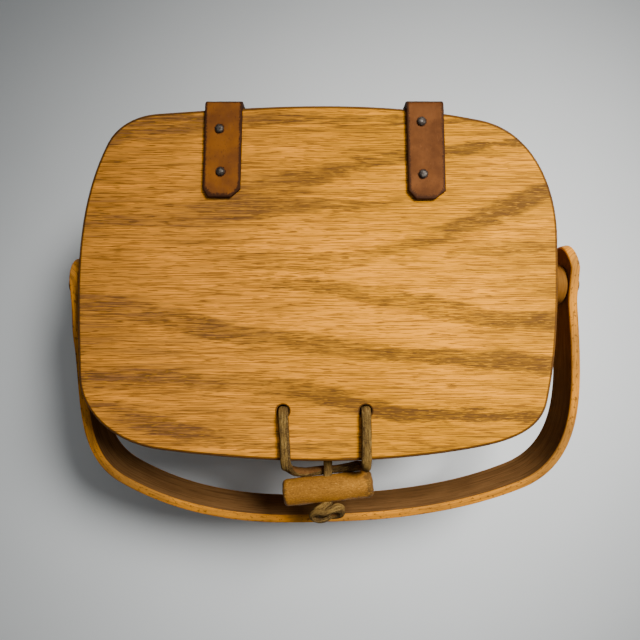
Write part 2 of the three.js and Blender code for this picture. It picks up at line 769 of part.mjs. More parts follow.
// Peg, turned along Y, laid along X and yawed, with the lace's hole across it
function togglePeg() {
  const half = PEG_LENGTH / 2;
  const shoulder = half - PEG_END_LENGTH;
  const rounding = [];
  for (let i = 0; i <= DOME_STEPS; i += 1) {
    const angle = Math.PI / 2 * i / DOME_STEPS;
    rounding.push([
      PEG_END_FLAT_RADIUS + (PEG_RADIUS - PEG_END_FLAT_RADIUS) * Math.cos(angle),
      shoulder + PEG_END_LENGTH * Math.sin(angle),
    ]);
  }
  const nearEnd = rounding.map(([r, y]) => [r, -y]).reverse();
  const peg = turned([[0, -half], ...nearEnd, ...rounding, [0, half]], ROUND_SIDES);
  peg.rotateZ(-Math.PI / 2);
  peg.rotateZ(THREE.MathUtils.degToRad(PEG_YAW));
  const hole = drill(
    new THREE.Vector3(0, -2 * PEG_RADIUS, 0),
    new THREE.Vector3(0, 2 * PEG_RADIUS, 0),
    TOGGLE_LACE_RADIUS + GAP,
    ROUND_SIDES / 2);
  return cut(peg, [hole]);
}

// A knot as a bulb on the lace
function knotProfile(from, length, radius) {
  const points = [];
  for (let i = 1; i < KNOT_STEPS; i += 1) {
    const swell = radius * Math.sin(Math.PI * i / KNOT_STEPS) ** KNOT_FULLNESS;
    points.push([Math.max(TOGGLE_LACE_RADIUS, swell), from + length * i / KNOT_STEPS]);
  }
  return points;
}

// The peg's lace: a knot inside the rim, the lace and a knot in front of the peg
function toggleLace() {
  const innerKnotEnd = RIM_HALF_DEPTH - RIM_DEPTH - GAP;
  const innerKnotStart = innerKnotEnd - INNER_KNOT_LENGTH;
  const profile = [
    [0, innerKnotStart],
    ...knotProfile(innerKnotStart, INNER_KNOT_LENGTH, INNER_KNOT_RADIUS),
    [TOGGLE_LACE_RADIUS, innerKnotEnd],
    [TOGGLE_LACE_RADIUS, FRONT_KNOT_START],
    ...knotProfile(FRONT_KNOT_START, FRONT_KNOT_LENGTH, FRONT_KNOT_RADIUS),
    [0, FRONT_KNOT_END],
  ];
  return turned(profile, ROUND_SIDES / 2);
}

function loopLace() {
  const points = LOOP_ROUTE.map(([x, y, z]) => new THREE.Vector3(x, y, z));
  const section = new THREE.Shape();
  section.absarc(0, 0, LOOP_LACE_RADIUS, 0, 2 * Math.PI, false);
  return new THREE.ExtrudeGeometry(section, {
    extrudePath: new THREE.CatmullRomCurve3(points, false, "centripetal"),
    steps: LOOP_LACE_STEPS,
    curveSegments: SMALL_SIDES / 2,
    bevelEnabled: false,
  });
}

// Body
addPiece(basket, "base_board", baseBoard(), MATERIALS.oak);
addPiece(basket, "woven_wall", wovenWall(), MATERIALS.splint);
addPiece(basket, "rim_hoop_outer", rimHoopOuter(), MATERIALS.bentwood);
addPiece(basket, "rim_hoop_inner", rimHoopInner(), MATERIALS.bentwood);
addPiece(basket, "rim_filler", rimFiller(), MATERIALS.splint);

// Lid, straps and every nail
addPiece(basket, "oak_lid", oakLid(), MATERIALS.oak);
for (const strap of STRAPS) {
  addPiece(basket, `hinge_strap_${strap.side}`, hingeStrap(strap), MATERIALS.strapLeather);
}
for (const { name, seat, outward, shankLength } of nails) {
  const nail = addPiece(basket, name, nailGeometry(shankLength), MATERIALS.nailSteel);
  aim(nail, seat, outward);
}

// Handle on its discs and rivets
const handle = new THREE.Group();
handle.position.set(0, 0, PIVOT_Z);
handle.rotation.x = THREE.MathUtils.degToRad(HANDLE_DROOP);
basket.add(handle);
addPiece(handle, "handle_bow", handleBow(), MATERIALS.bentwood);
const burrX = RIM_HALF_WIDTH - RIM_DEPTH - GAP - BURR_THICKNESS;
for (const [side, sign] of Object.entries(SIDES)) {
  const outward = new THREE.Vector3(sign, 0, 0);
  const disc = addPiece(basket, `ear_disc_${side}`, earDisc(), MATERIALS.bentwood);
  aim(disc, new THREE.Vector3(sign * (RIM_HALF_WIDTH + GAP), 0, PIVOT_Z), outward);
  const rivet = addPiece(basket, `pivot_rivet_${side}`, pivotRivet(), MATERIALS.rivetMetal);
  aim(rivet, new THREE.Vector3(0, 0, PIVOT_Z), outward);
  const burr = addPiece(basket, `rivet_burr_${side}`, rivetBurr(), MATERIALS.rivetMetal);
  aim(burr, new THREE.Vector3(sign * burrX, 0, PIVOT_Z), outward);
}

// Closure
const peg = addPiece(basket, "toggle_peg", togglePeg(), MATERIALS.pegWood);
peg.position.set(TOGGLE_X, -PEG_Y, TOGGLE_Z);
const lace = addPiece(basket, "toggle_lace", toggleLace(), MATERIALS.laceLeather);
aim(lace, new THREE.Vector3(TOGGLE_X, 0, TOGGLE_Z), new THREE.Vector3(0, -1, 0));
addPiece(basket, "lid_loop_lace", loopLace(), MATERIALS.laceLeather);

export default basket;
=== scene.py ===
import json
import math
import random

import bmesh
import bpy
import numpy as np
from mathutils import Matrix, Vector, noise


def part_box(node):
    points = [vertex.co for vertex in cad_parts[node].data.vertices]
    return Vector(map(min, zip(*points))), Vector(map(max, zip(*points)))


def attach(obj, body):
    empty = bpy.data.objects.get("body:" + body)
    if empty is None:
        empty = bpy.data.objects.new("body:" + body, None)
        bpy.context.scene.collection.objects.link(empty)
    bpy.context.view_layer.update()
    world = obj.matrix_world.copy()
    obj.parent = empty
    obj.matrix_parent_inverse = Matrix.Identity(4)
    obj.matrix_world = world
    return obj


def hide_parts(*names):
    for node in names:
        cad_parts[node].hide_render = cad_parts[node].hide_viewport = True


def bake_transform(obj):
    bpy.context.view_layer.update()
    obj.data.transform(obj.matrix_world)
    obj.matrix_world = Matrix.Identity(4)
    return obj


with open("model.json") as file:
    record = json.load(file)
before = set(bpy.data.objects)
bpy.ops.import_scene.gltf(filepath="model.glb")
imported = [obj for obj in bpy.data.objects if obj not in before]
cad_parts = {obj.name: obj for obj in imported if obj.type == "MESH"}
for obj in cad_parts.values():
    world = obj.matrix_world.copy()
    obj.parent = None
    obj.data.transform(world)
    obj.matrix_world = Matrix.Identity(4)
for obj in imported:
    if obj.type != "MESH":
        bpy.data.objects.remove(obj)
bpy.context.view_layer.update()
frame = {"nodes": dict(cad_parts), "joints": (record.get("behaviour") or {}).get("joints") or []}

MM = 0.001
CENTRE = 0.01  # the radius at a turned shape's closed end


# Sizes that the frame gives

def node_box(node):
    low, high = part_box(node)
    return np.array(low) / MM, np.array(high) / MM


def joint_place(name):
    return np.array(next(j for j in frame["joints"] if j["name"] == name)["pos_m"])


hoop_low, hoop_high = node_box("rim_hoop_outer")
RIM_HALF_WIDTH, RIM_HALF_DEPTH, RIM_TOP = hoop_high
HOOP_BOTTOM = hoop_low[2]
INNER_HOOP_BOTTOM = node_box("rim_hoop_inner")[0][2]
WALL_BOTTOM, WALL_TOP = (corner[2] for corner in node_box("woven_wall"))
LID_BOTTOM, LID_TOP = (corner[2] for corner in node_box("oak_lid"))
BASE_TOP = node_box("base_board")[1][2]
STRAP_REAR = node_box("hinge_strap_right")[1][1]
PIVOT_Z = joint_place("handle_swing")[2] / MM
TOGGLE_X, PEG_Y, TOGGLE_Z = joint_place("toggle_turn") / MM

# Rim, hoops, wall and base, as in the solids
GAP = 0.3
RIM_REAR_PULL = (0.75, 1.03)
RIM_FRONT_PULL = (0.84, 0.86)
OUTER_HOOP_THICKNESS = 4.2
INNER_HOOP_THICKNESS = 3.6
HOOP_ROUNDING = 1.1
HOOP_LAP = 55
HOOP_LAP_EDGE = 0.35
OUTER_LAP_AT = 0.335
INNER_LAP_AT = 0.84
WALL_THICKNESS = 2.6
WALL_FACE = OUTER_HOOP_THICKNESS + GAP
INNER_HOOP_FACE = WALL_FACE + WALL_THICKNESS + GAP
RIM_DEPTH = INNER_HOOP_FACE + INNER_HOOP_THICKNESS
WALL_DRAW_IN = 16
WALL_CURVE = 1.7
FILLER_RADIUS = 1.25
BASE_LIP_HEIGHT = WALL_BOTTOM - GAP
BASE_EDGE = 1.4

# Weave: a row of weavers for each pitch, and a plain band round the foot
STAKES = 48
STEPS_PER_STAKE = 8
STAKE_WIDTH = 8.6
STAKE_THICKNESS = 1.0
STAKE_SWING = 0.3
STAKE_ROUNDING = 0.35
STAKE_FOOT_TAPER = 0.86
ROW_PITCH = 6.5
WEAVER_WIDTH = 6.0
WEAVER_THICKNESS = 0.8
WEAVER_SWING = 0.92
WEAVER_ROUNDING = 0.3
WEAVE_MERGE = 0.0005
FOOT_BAND_HEIGHT = 7.5
FOOT_BAND_THICKNESS = 0.9
FOOT_BAND_OUT = 0.8
FIRST_ROW = WALL_BOTTOM + FOOT_BAND_HEIGHT + ROW_PITCH / 2 + 0.2

# Lid outline, as in the solids: places, and the way of the edge there in degrees from +X
LID_PLACES = [(-85, 86.3), (-110.7, 71.1), (-125.4, -47), (-84, -85.5), (75, -84.9), (114, -61),
              (119.1, 23.5), (80, 83), (-85, 86.3)]
LID_WAYS = [184, 243, 271, 352.6, 370, 438, 451, 528.4, 544]
LID_ROUNDING = 1.8
LID_FACE_INSET = 0.8
LACE_HOLE_RADIUS = 3.175
LACE_HOLE_X = 21.1
LACE_HOLE_Y = -65.4
LACE_HOLE_WEAR = [(0.9, 0), (0.5, 0.08), (0.15, 0.35), (0, 0.8)]

# Straps, with wear and painted shade at their edges, painted shade at their bend and a painted shadow
# round their nails
STRAP_SPACING = 101.6
STRAP_WIDTH = 19
STRAP_SPLAY = math.tan(math.radians(1.6))
STRAP_THICKNESS = 2.2
STRAP_ROUNDING = 0.75
STRAP_WAVE = 0.16
STRAP_PEBBLES = 0.035
STRAP_INNER_BEND = 1.5
STRAP_CLIP_DEPTH = 4.2
STRAP_REAR_CLIP = 4
STRAP_CLIPS = {"left": (2.6, 4.9), "right": (3.9, 5.6)}
STRAP_FRONT_END = 5
FRONT_WEAR_AND_SHADE_WIDTH = 3.6
SIDE_WEAR_AND_SHADE_WIDTH = 2.6
BEND_SHADE_AT = 3.2
BEND_SHADE_WIDTH = 1.7
NAIL_SHADOW_WIDTH = 0.7
NAIL_PRESS = 0.28
NAIL_PRESS_WIDTH = 3.2
NAIL_HEAD_RADIUS = 2.2
NAIL_HEAD_HEIGHT = 1.1

# Handle, in its own plane
BAND_THICKNESS = 4.8
BAND_WIDTH = 24
BAND_ROUNDING = 1.0
BAND_WAVE_ASIDE = 0.25
BAND_WAVE_UP = 0.35
HANDLE_DROOP = math.radians(12.6)
EAR_DISC_THICKNESS = 9.1
EAR_DISC_RADIUS = 11
EAR_DISC_ROUNDING = 1.6
PIVOT_X = RIM_HALF_WIDTH + GAP + EAR_DISC_THICKNESS + GAP + BAND_THICKNESS / 2
LEG_STRAIGHT = 6.5
BOW_PLACES = [(PIVOT_X, -LEG_STRAIGHT), (111.5, -113), (-22.5, -134.5), (-113.5, -110), (-131.5, -28.5),
              (-PIVOT_X, -LEG_STRAIGHT)]
BOW_WAYS = [-82, -156, -180, -213, -267, -270]
RIGHT_LEG_BEYOND = 21
LEFT_LEG_BEYOND = 14.2
LEG_END_LEAN = 2
RIVET_RADIUS = 2.5
RIVET_HEAD_RADIUS = 6.5
RIVET_HEAD_HEIGHT = 4.5
RIVET_HEAD_EDGE = 0.2
RIVET_TAIL_RADIUS = 3.8
RIVET_TAIL_LENGTH = 1.3
BURR_RADIUS = 5.5
BURR_THICKNESS = 1
BURR_EDGE = 0.3

# Closure
PEG_LENGTH = 47.8
PEG_RADIUS = 7
PEG_ROUNDING = 2.6
PEG_END_DENT = 0.3
PEG_YAW = math.radians(6.2)
PEG_GRAIN_LENGTH = 57
PEG_WEAR_AND_SHADE_FROM = 19.8
LACE_WIDTH = 5.3
LACE_THICKNESS = 4.0
LACE_CORNERS_SAVE = 2.75
LACE_WOBBLE = 0.07
LACE_AROUND = 2 * (LACE_WIDTH + LACE_THICKNESS) - LACE_CORNERS_SAVE
TOGGLE_LACE_WIDTH = 4.6
TOGGLE_LACE_THICKNESS = 3.6
INNER_KNOT_Y = -73.5
INNER_KNOT_SIZE = 1.15
INNER_KNOT_DEPTH = 1.3
INNER_KNOT_LACE = (3.2, 3.0)
LOOP_ROUTE = [
    (-20.9, -65.4, 103.5), (-20.9, -65.4, 107), (-20.9, -65.4, 111), (-20.9, -65.4, 114.6),
    (-20.8, -67, 117), (-20.7, -70, 117.4), (-20.5, -74, 117.4), (-20.1, -80, 117.4),
    (-19.8, -86, 117.4), (-19.6, -90.4, 117.3), (-19.4, -92.6, 116.4), (-19.2, -94, 114.4),
    (-18.9, -95.2, 111), (-18.3, -97.2, 106.6), (-15.5, -99.6, 102), (-10.5, -101, 98.8),
    (-4.5, -100.8, 97), (2, -100.2, 96.5), (7.5, -99.7, 96.9), (13.5, -98.6, 98.4),
    (18.2, -96.8, 101.6), (20.5, -96, 106), (21.2, -95.1, 111), (21.3, -94, 114.4),
    (21.3, -92.6, 116.4), (21.3, -90.4, 117.3), (21.3, -86, 117.4), (21.3, -80, 117.4),
    (21.3, -74, 117.4), (21.2, -70, 117.4), (21.1, -67, 117), (21.1, -65.4, 114.6),
    (21.1, -65.4, 111), (21.1, -65.4, 107), (21.1, -65.4, 103.5),
]
LOOP_TWIST = [0, 0, 8, 14, 10, -12, -40, -58, -50, -30, 0, 25, 30, 10, -6, -14, -8, 0, 0]
TOGGLE_KNOT_ROUTE = [
    (2, -76, 101), (2, -84, 101), (2, -94, 101), (2, -104, 101), (2, -112, 101), (2.2, -115.4, 101.6),
    (0.6, -117.6, 104), (-2.2, -119, 105.6), (-4.1, -121, 103.6), (-2.4, -122.6, 100),
    (1.6, -123.2, 98.4), (5.6, -123.4, 99), (8.7, -122, 101), (9.1, -119.6, 103.6),
    (6.8, -117.9, 105.8), (3.6, -118.4, 107.4), (0.6, -119.6, 107.8), (-2.6, -119.6, 107.3),
    (-5.4, -120.6, 106.2), (-6.6, -122.6, 105.2), (-5, -124.5, 104.6), (-2, -125.1, 104.6),
    (1.2, -124.3, 104.8), (3.6, -122.9, 104),
]
TOGGLE_KNOT_SIZES = [1, 1, 1, 1, 1.12, 1.15, 1.15, 1.1, 1, 0.72, 0.62, 0.62]

# Camera: straight above the basket. The photograph's frame is 640 by 640.
CAMERA_PLACE = (-2.2, -19.1, 391.7)
FOCAL_PIXELS = 544
FRAME_PIXELS = 640
SENSOR = 36
FLOOR_HALF_METRES = 3


def add_object(name, data):
    made = bpy.data.objects.new(name, data)
    bpy.context.scene.collection.objects.link(made)
    return made


def add_camera():
    data = bpy.data.cameras.new("camera")
    data.sensor_fit = "HORIZONTAL"
    data.sensor_width = SENSOR
    data.lens = FOCAL_PIXELS / FRAME_PIXELS * SENSOR
    data.clip_start = 0.01
    camera = add_object("camera", data)
    camera.location = Vector(CAMERA_PLACE) * MM
    bpy.context.scene.camera = camera


# Curves and outlines

def unit(rows):
    return rows / np.linalg.norm(rows, axis=1)[:, None]


def bezier(p0, p1, p2, p3, steps):
    t = np.linspace(0, 1, steps + 1)[:, None]
    p0, p1, p2, p3 = (np.array(p, float) for p in (p0, p1, p2, p3))
    return (1 - t) ** 3 * p0 + 3 * (1 - t) ** 2 * t * p1 + 3 * (1 - t) * t ** 2 * p2 + t ** 3 * p3


def arc(centre, radius, start, end, steps):
    angles = [math.radians(start + (end - start) * k / steps) for k in range(steps + 1)]
    return [(centre[0] + radius * math.cos(a), centre[1] + radius * math.sin(a)) for a in angles]


def lengths_along(points):
    steps = np.linalg.norm(np.diff(points, axis=0), axis=1)
    return np.concatenate(([0], np.cumsum(steps)))


def lengths_round(loop):
    """Lengths along a closed loop. The last is the whole way round."""
    return lengths_along(np.vstack((loop, loop[:1])))


def resample(points, count):
    """The same path with evenly spaced points, ends kept."""
    along = lengths_along(points)
    wanted = np.linspace(0, along[-1], count)
    return np.stack([np.interp(wanted, along, points[:, k]) for k in range(points.shape[1])], axis=1)


def through(points, per_span=8):
    """A smooth centripetal curve through the points."""
    p = np.array(points, float)
    p = np.vstack((2 * p[0] - p[1], p, 2 * p[-1] - p[-2]))
    out = []
    for a, b, c, d in zip(p, p[1:], p[2:], p[3:]):
        t1 = np.linalg.norm(b - a) ** 0.5
        t2 = t1 + np.linalg.norm(c - b) ** 0.5
        t3 = t2 + np.linalg.norm(d - c) ** 0.5
        for t in np.linspace(t1, t2, per_span, endpoint=False):
            ab = a + (b - a) * t / t1
            bc = b + (c - b) * (t - t1) / (t2 - t1)
            cd = c + (d - c) * (t - t2) / (t3 - t2)
            abc = ab + (bc - ab) * t / t2
            bcd = bc + (cd - bc) * (t - t1) / (t3 - t1)
            out.append(abc + (bcd - abc) * (t - t1) / (t2 - t1))
    out.append(p[-2])
    return np.array(out)


def smooth_line(places, ways, steps):
    """A curve through places, with its way at each in degrees. Each span is nearly an arc."""
    spans = []
    for a, b, start, finish in zip(places, places[1:], np.radians(ways), np.radians(ways[1:])):
        a, b = np.array(a, float), np.array(b, float)
        pull = np.linalg.norm(b - a) / (3 * math.cos((finish - start) / 4) ** 2)
        leave = pull * np.array((math.cos(start), math.sin(start)))
        arrive = pull * np.array((math.cos(finish), math.sin(finish)))
        spans.append(bezier(a, a + leave, b - arrive, b, steps)[:-1])
    return np.vstack(spans + [np.array(places[-1:], float)])


def quarter(end, side, pull, steps=200):
    along, across = pull
    return bezier(end, (end[0] + along * (side[0] - end[0]), end[1]),
                  (side[0], side[1] + across * (end[1] - side[1])), side, steps)


def rim_outline(count):
    """The rim seen from above, evenly spaced and counterclockwise from the rear."""
    rear, front = (0, RIM_HALF_DEPTH), (0, -RIM_HALF_DEPTH)
    left, right = (-RIM_HALF_WIDTH, 0), (RIM_HALF_WIDTH, 0)
    loop = np.vstack((
        quarter(rear, left, RIM_REAR_PULL)[:-1],
        quarter(front, left, RIM_FRONT_PULL)[::-1][:-1],
        quarter(front, right, RIM_FRONT_PULL)[:-1],
        quarter(rear, right, RIM_REAR_PULL)[::-1]))
    return resample(loop, count + 1)[:-1]


def normals_of(loop):
    forward = np.roll(loop, -1, axis=0) - np.roll(loop, 1, axis=0)
    return unit(np.stack((forward[:, 1], -forward[:, 0]), axis=1))


def inset_rings(loop, profile):
    """A loop's places, each with a profile of insets and heights."""
    out = normals_of(loop)
    points = np.zeros((len(loop), len(profile), 3))
    for j, (inset, z) in enumerate(profile):
        points[:, j, :2] = loop - out * inset
        points[:, j, 2] = z
    return points


def wall_inset(z):
    fall = np.maximum(0, (HOOP_BOTTOM - np.asarray(z, float)) / (HOOP_BOTTOM - WALL_BOTTOM))
    return WALL_FACE + WALL_DRAW_IN * fall ** WALL_CURVE


# Meshes

def finish_mesh(name, bm):
    bmesh.ops.recalc_face_normals(bm, faces=bm.faces)
    mesh = bpy.data.meshes.new(name)
    bm.to_mesh(mesh)
    bm.free()
    return mesh


class Shape:
    """Points and faces in millimetres, with a place on the grain for each corner."""

    def __init__(self, merge=0.005, fill_levels=()):
        self.points = []
        self.faces = []
        self.places = []
        self.merge = merge
        self.fill_levels = fill_levels

    def grid(self, points, along, across, wrap_along=False, wrap_across=False):
        """Faces over points[i][j]. A wrapped side's list of places is one longer."""
        base = len(self.points)
        rows, columns = points.shape[:2]
        self.points.extend(points.reshape(-1, 3))
        for i in range(rows if wrap_along else rows - 1):
            k = (i + 1) % rows
            for j in range(columns if wrap_across else columns - 1):
                m = (j + 1) % columns
                self.faces.append([base + i * columns + j, base + k * columns + j,
                                   base + k * columns + m, base + i * columns + m])
                self.places.append([(along[i], across[j]), (along[i + 1], across[j]),
                                    (along[i + 1], across[j + 1]), (along[i], across[j + 1])])

    def cap(self, ring, places):
        """One flat face over a ring of points."""
        base = len(self.points)
        self.points.extend(ring)
        self.faces.append(list(range(base, base + len(ring))))
        self.places.append(list(places))

    def mesh(self, name):
        """Welds what touches, and fills the open edges at each of the fill levels."""
        rough = bpy.data.meshes.new(name)
        rough.from_pydata([tuple(p * MM) for p in np.array(self.points)], [], self.faces)
        layer = rough.uv_layers.new(name="grain")
        flat = [xy for face in self.places for place in face for xy in place]
        layer.data.foreach_set("uv", np.array(flat, np.float32) * MM)
        bm = bmesh.new()
        bm.from_mesh(rough)
        bpy.data.meshes.remove(rough)
        bmesh.ops.remove_doubles(bm, verts=bm.verts, dist=self.merge * MM)
        for z in self.fill_levels:
            edges = [e for e in bm.edges
                     if e.is_boundary and all(abs(v.co.z - z * MM) < 1e-6 for v in e.verts)]
            bmesh.ops.triangle_fill(bm, edges=edges, use_beauty=True)
        return finish_mesh(name, bm)


def place_piece(name, shape, material, body, node=None, sharp=40):
    mesh = shape.mesh(name) if isinstance(shape, Shape) else shape
    for polygon in mesh.polygons:
        polygon.use_smooth = True
    mesh.set_sharp_from_angle(angle=math.radians(sharp))
    mesh.materials.append(material)
    piece = add_object(name, mesh)
    if body:
        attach(piece, body)
    if node:
        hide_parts(node)
    return piece


def rounded_section(width, thickness, radius, steps):
    """A rounded rectangle as points (across, out), and the distance round it."""
    points = []
    for sx, sy, start in [(1, 1, 0), (-1, 1, 90), (-1, -1, 180), (1, -1, 270)]:
        corner = (sx * (width / 2 - radius), sy * (thickness / 2 - radius))
        points += arc(corner, radius, start, start + 90, steps)
    return np.array(points), lengths_round(points)


def swept(centres, across, out, section, size=1.0, thick=None):
    """Section points carried along a path. size scales them, and thick the way out alone."""
    size = np.broadcast_to(size, len(centres))
    thick = size if thick is None else np.broadcast_to(thick, len(centres))
    return (centres[:, None, :]
            + across[:, None, :] * section[None, :, 0, None] * size[:, None, None]
            + out[:, None, :] * section[None, :, 1, None] * thick[:, None, None])


def rolling_frames(path, start_out):
    """Directions across and out that follow a path without twisting."""
    tangents = unit(np.gradient(path, axis=0))
    out = np.array(start_out, float)
    outs = []
    for tangent in tangents:
        out = out - tangent * out.dot(tangent)
        out /= np.linalg.norm(out)
        outs.append(out.copy())
    outs = np.array(outs)
    return np.cross(tangents, outs), outs


def turned_points(profile, sides):
    """Rows of (radius, height) points turned about +Z."""
    profile = np.array(profile, float)
    angles = np.linspace(0, 2 * math.pi, sides, endpoint=False)
    points = np.zeros((sides, len(profile), 3))
    points[:, :, 0] = np.cos(angles)[:, None] * profile[None, :, 0]
    points[:, :, 1] = np.sin(angles)[:, None] * profile[None, :, 0]
    points[:, :, 2] = profile[None, :, 1]
    return points


def turned_shape(profile, sides, jitter, seed, place, outward, spin=0.0, grain_along=False):
    """A turned shape, at its place and with +Z turned to the outward direction."""
    points = turned_points(profile, sides)
    if jitter:
        for p in points.reshape(-1, 3):
            p *= 1 + jitter * noise.noise(Vector(p) * 0.35 + Vector((seed * 7.1, 0, 0)))
    turn = Vector((0, 0, 1)).rotation_difference(Vector(outward)).to_matrix()
    spun = np.array([[math.cos(spin), -math.sin(spin), 0], [math.sin(spin), math.cos(spin), 0], [0, 0, 1]])
    matrix = np.array(turn) @ spun
    shape = Shape()
    shape.grid(points, np.linspace(0, 2 * math.pi * EAR_DISC_RADIUS, sides + 1),
               lengths_along(np.array(profile, float)), wrap_along=True)
    shape.points = [matrix @ p + np.array(place) for p in shape.points]
    if grain_along:
        shape.places = [[(b, a) for a, b in face] for face in shape.places]
    return shape


# Plates: a flat outline with rounded edges, cut into strips and then bent along a path

def inset_polygon(points, distance):
    before = unit(points - np.roll(points, 1, axis=0))
    after = unit(np.roll(points, -1, axis=0) - points)
    mitre = np.stack((-before[:, 1], before[:, 0]), axis=1) + np.stack((-after[:, 1], after[:, 0]), axis=1)
    mitre /= (mitre * mitre).sum(axis=1)[:, None] / 2
    return points + mitre * distance


def plate(polygon, thickness, rounding, strip, cross_strip, steps=4):
    """polygon is counterclockwise in (along, across). Returns a bmesh with a grain layer."""
    bm = bmesh.new()
    polygon = np.array(polygon, float)
    rings = []
    for side in (1, -1):
        for k in range(steps + 1):
            angle = math.pi / 2 * (k if side > 0 else steps - k) / steps
            height = side * (thickness / 2 - rounding * (1 - math.cos(angle)))
            ring = inset_polygon(polygon, rounding * (1 - math.sin(angle)))
            rings.append([bm.verts.new((x, y, height)) for x, y in ring])
    for upper, lower in zip(rings, rings[1:]):
        for i in range(len(upper)):
            k = (i + 1) % len(upper)
            bm.faces.new((upper[i], lower[i], lower[k], upper[k]))
    bm.faces.new(rings[0])
    bm.faces.new(list(reversed(rings[-1])))
    low, high = polygon.min(axis=0), polygon.max(axis=0)
    for axis, step in ((0, strip), (1, cross_strip)):
        way = np.eye(3)[axis]
        for at in np.arange(low[axis] + step / 2, high[axis], step):
            geometry = bm.verts[:] + bm.edges[:] + bm.faces[:]
            bmesh.ops.bisect_plane(bm, geom=geometry, plane_co=way * at, plane_no=way)
    layer = bm.loops.layers.uv.new("grain")
    for face in bm.faces:
        for loop in face.loops:
            x, y, z = loop.vert.co
            on_side = abs(z) < thickness / 2 - 0.01
            loop[layer].uv = (x * MM, (y + (0.5 * z if on_side else z)) * MM)
    return bm


def bent_mesh(name, bm, bend):
    """Moves each vertex (along, across, out) to bend(along, across, out)."""
    flat = np.array([v.co for v in bm.verts])
    for vertex, place in zip(bm.verts, bend(flat)):
        vertex.co = place * MM
    return finish_mesh(name, bm)


# Materials

class Surface:
    """A material's nodes. A step's inputs are numbers, colours in linear light or earlier steps."""

    def __init__(self, name):
        self.material = bpy.data.materials.new(name)
        self.material.use_nodes = True
        self.tree = self.material.node_tree
        self.shader = self.tree.nodes["Principled BSDF"]
        self.coordinates = self.tree.nodes.new("ShaderNodeTexCoord")

    def step(self, kind, inputs, output=0, **settings):
        made = self.tree.nodes.new(kind)
        for key, value in settings.items():
            setattr(made, key, value)
        for key, value in inputs.items():
            self.give(made.inputs[key], value)
        return made.outputs[output]

    def give(self, socket, value):
        if isinstance(value, bpy.types.NodeSocket):
            self.tree.links.new(value, socket)
        else:
            socket.default_value = (*value, 1.0) if socket.type == "RGBA" else value

    def set(self, **inputs):
        for key, value in inputs.items():
            self.give(self.shader.inputs[key.replace("_", " ")], value)

    def place_mm(self, stretch=(1, 1, 1), shift=(0, 0, 0)):
        """Place in millimetres over the size of a feature. Two sizes are along and across the grain."""
        on_part = len(stretch) == 3
        place = self.coordinates.outputs["Object"] if on_part else self.layer("grain")
        scale = [1 / (MM * size) for size in (*stretch, 1)[:3]]
        moved = self.step("ShaderNodeVectorMath", {0: place, 1: scale}, operation="MULTIPLY")
        return self.step("ShaderNodeVectorMath", {0: moved, 1: shift}, operation="ADD")

    def layer(self, name):
        return self.step("ShaderNodeUVMap", {}, uv_map=name)

    def axis(self, vector, k):
        return self.step("ShaderNodeSeparateXYZ", {0: vector}, k)

    def math(self, operation, a, b=0.0, clamp=False):
        return self.step("ShaderNodeMath", {0: a, 1: b}, operation=operation, use_clamp=clamp)

    def plus(self, a, b):
        return self.math("ADD", a, b)

    def less(self, a, b):
        return self.math("SUBTRACT", a, b)

    def times(self, a, b, clamp=False):
        return self.math("MULTIPLY", a, b, clamp)

    def noise(self, stretch, detail=2.0, roughness=0.5, shift=(0, 0, 0), distortion=0.0):
        return self.step("ShaderNodeTexNoise", {
            "Vector": self.place_mm(stretch, shift), "Scale": 1.0, "Detail": detail,
            "Roughness": roughness, "Distortion": distortion})

    def span(self, value, low, high, to_low=0.0, to_high=1.0, smooth=True):
        return self.step("ShaderNodeMapRange", {
            "Value": value, "From Min": low, "From Max": high, "To Min": to_low, "To Max": to_high},
            interpolation_type="SMOOTHSTEP" if smooth else "LINEAR")

    def evenly(self, value, low, high, to_low, to_high):
        return self.span(value, low, high, to_low, to_high, smooth=False)

    def mix(self, factor, a, b, blend="MIX"):
        return self.step("ShaderNodeMix", {0: factor, 6: a, 7: b}, 2, data_type="RGBA", blend_type=blend)

    def ramp(self, value, stops):
        made = self.step("ShaderNodeValToRGB", {0: value}).node
        elements = made.color_ramp.elements
        while len(elements) < len(stops):
            elements.new(0.5)
        for element, (position, colour) in zip(elements, stops):
            element.position = position
            element.color = (*colour, 1.0)
        return made.outputs[0]

    def relief(self, height, distance, strength):
        self.set(Normal=self.step("ShaderNodeBump", {
            "Height": height, "Distance": distance * MM, "Strength": strength}))


# Oak: bands of dark late wood across plain wood, with dashes of open pores. A band is a row of
# places, each with its x, the y of the band's middle there, half its width and its strength.

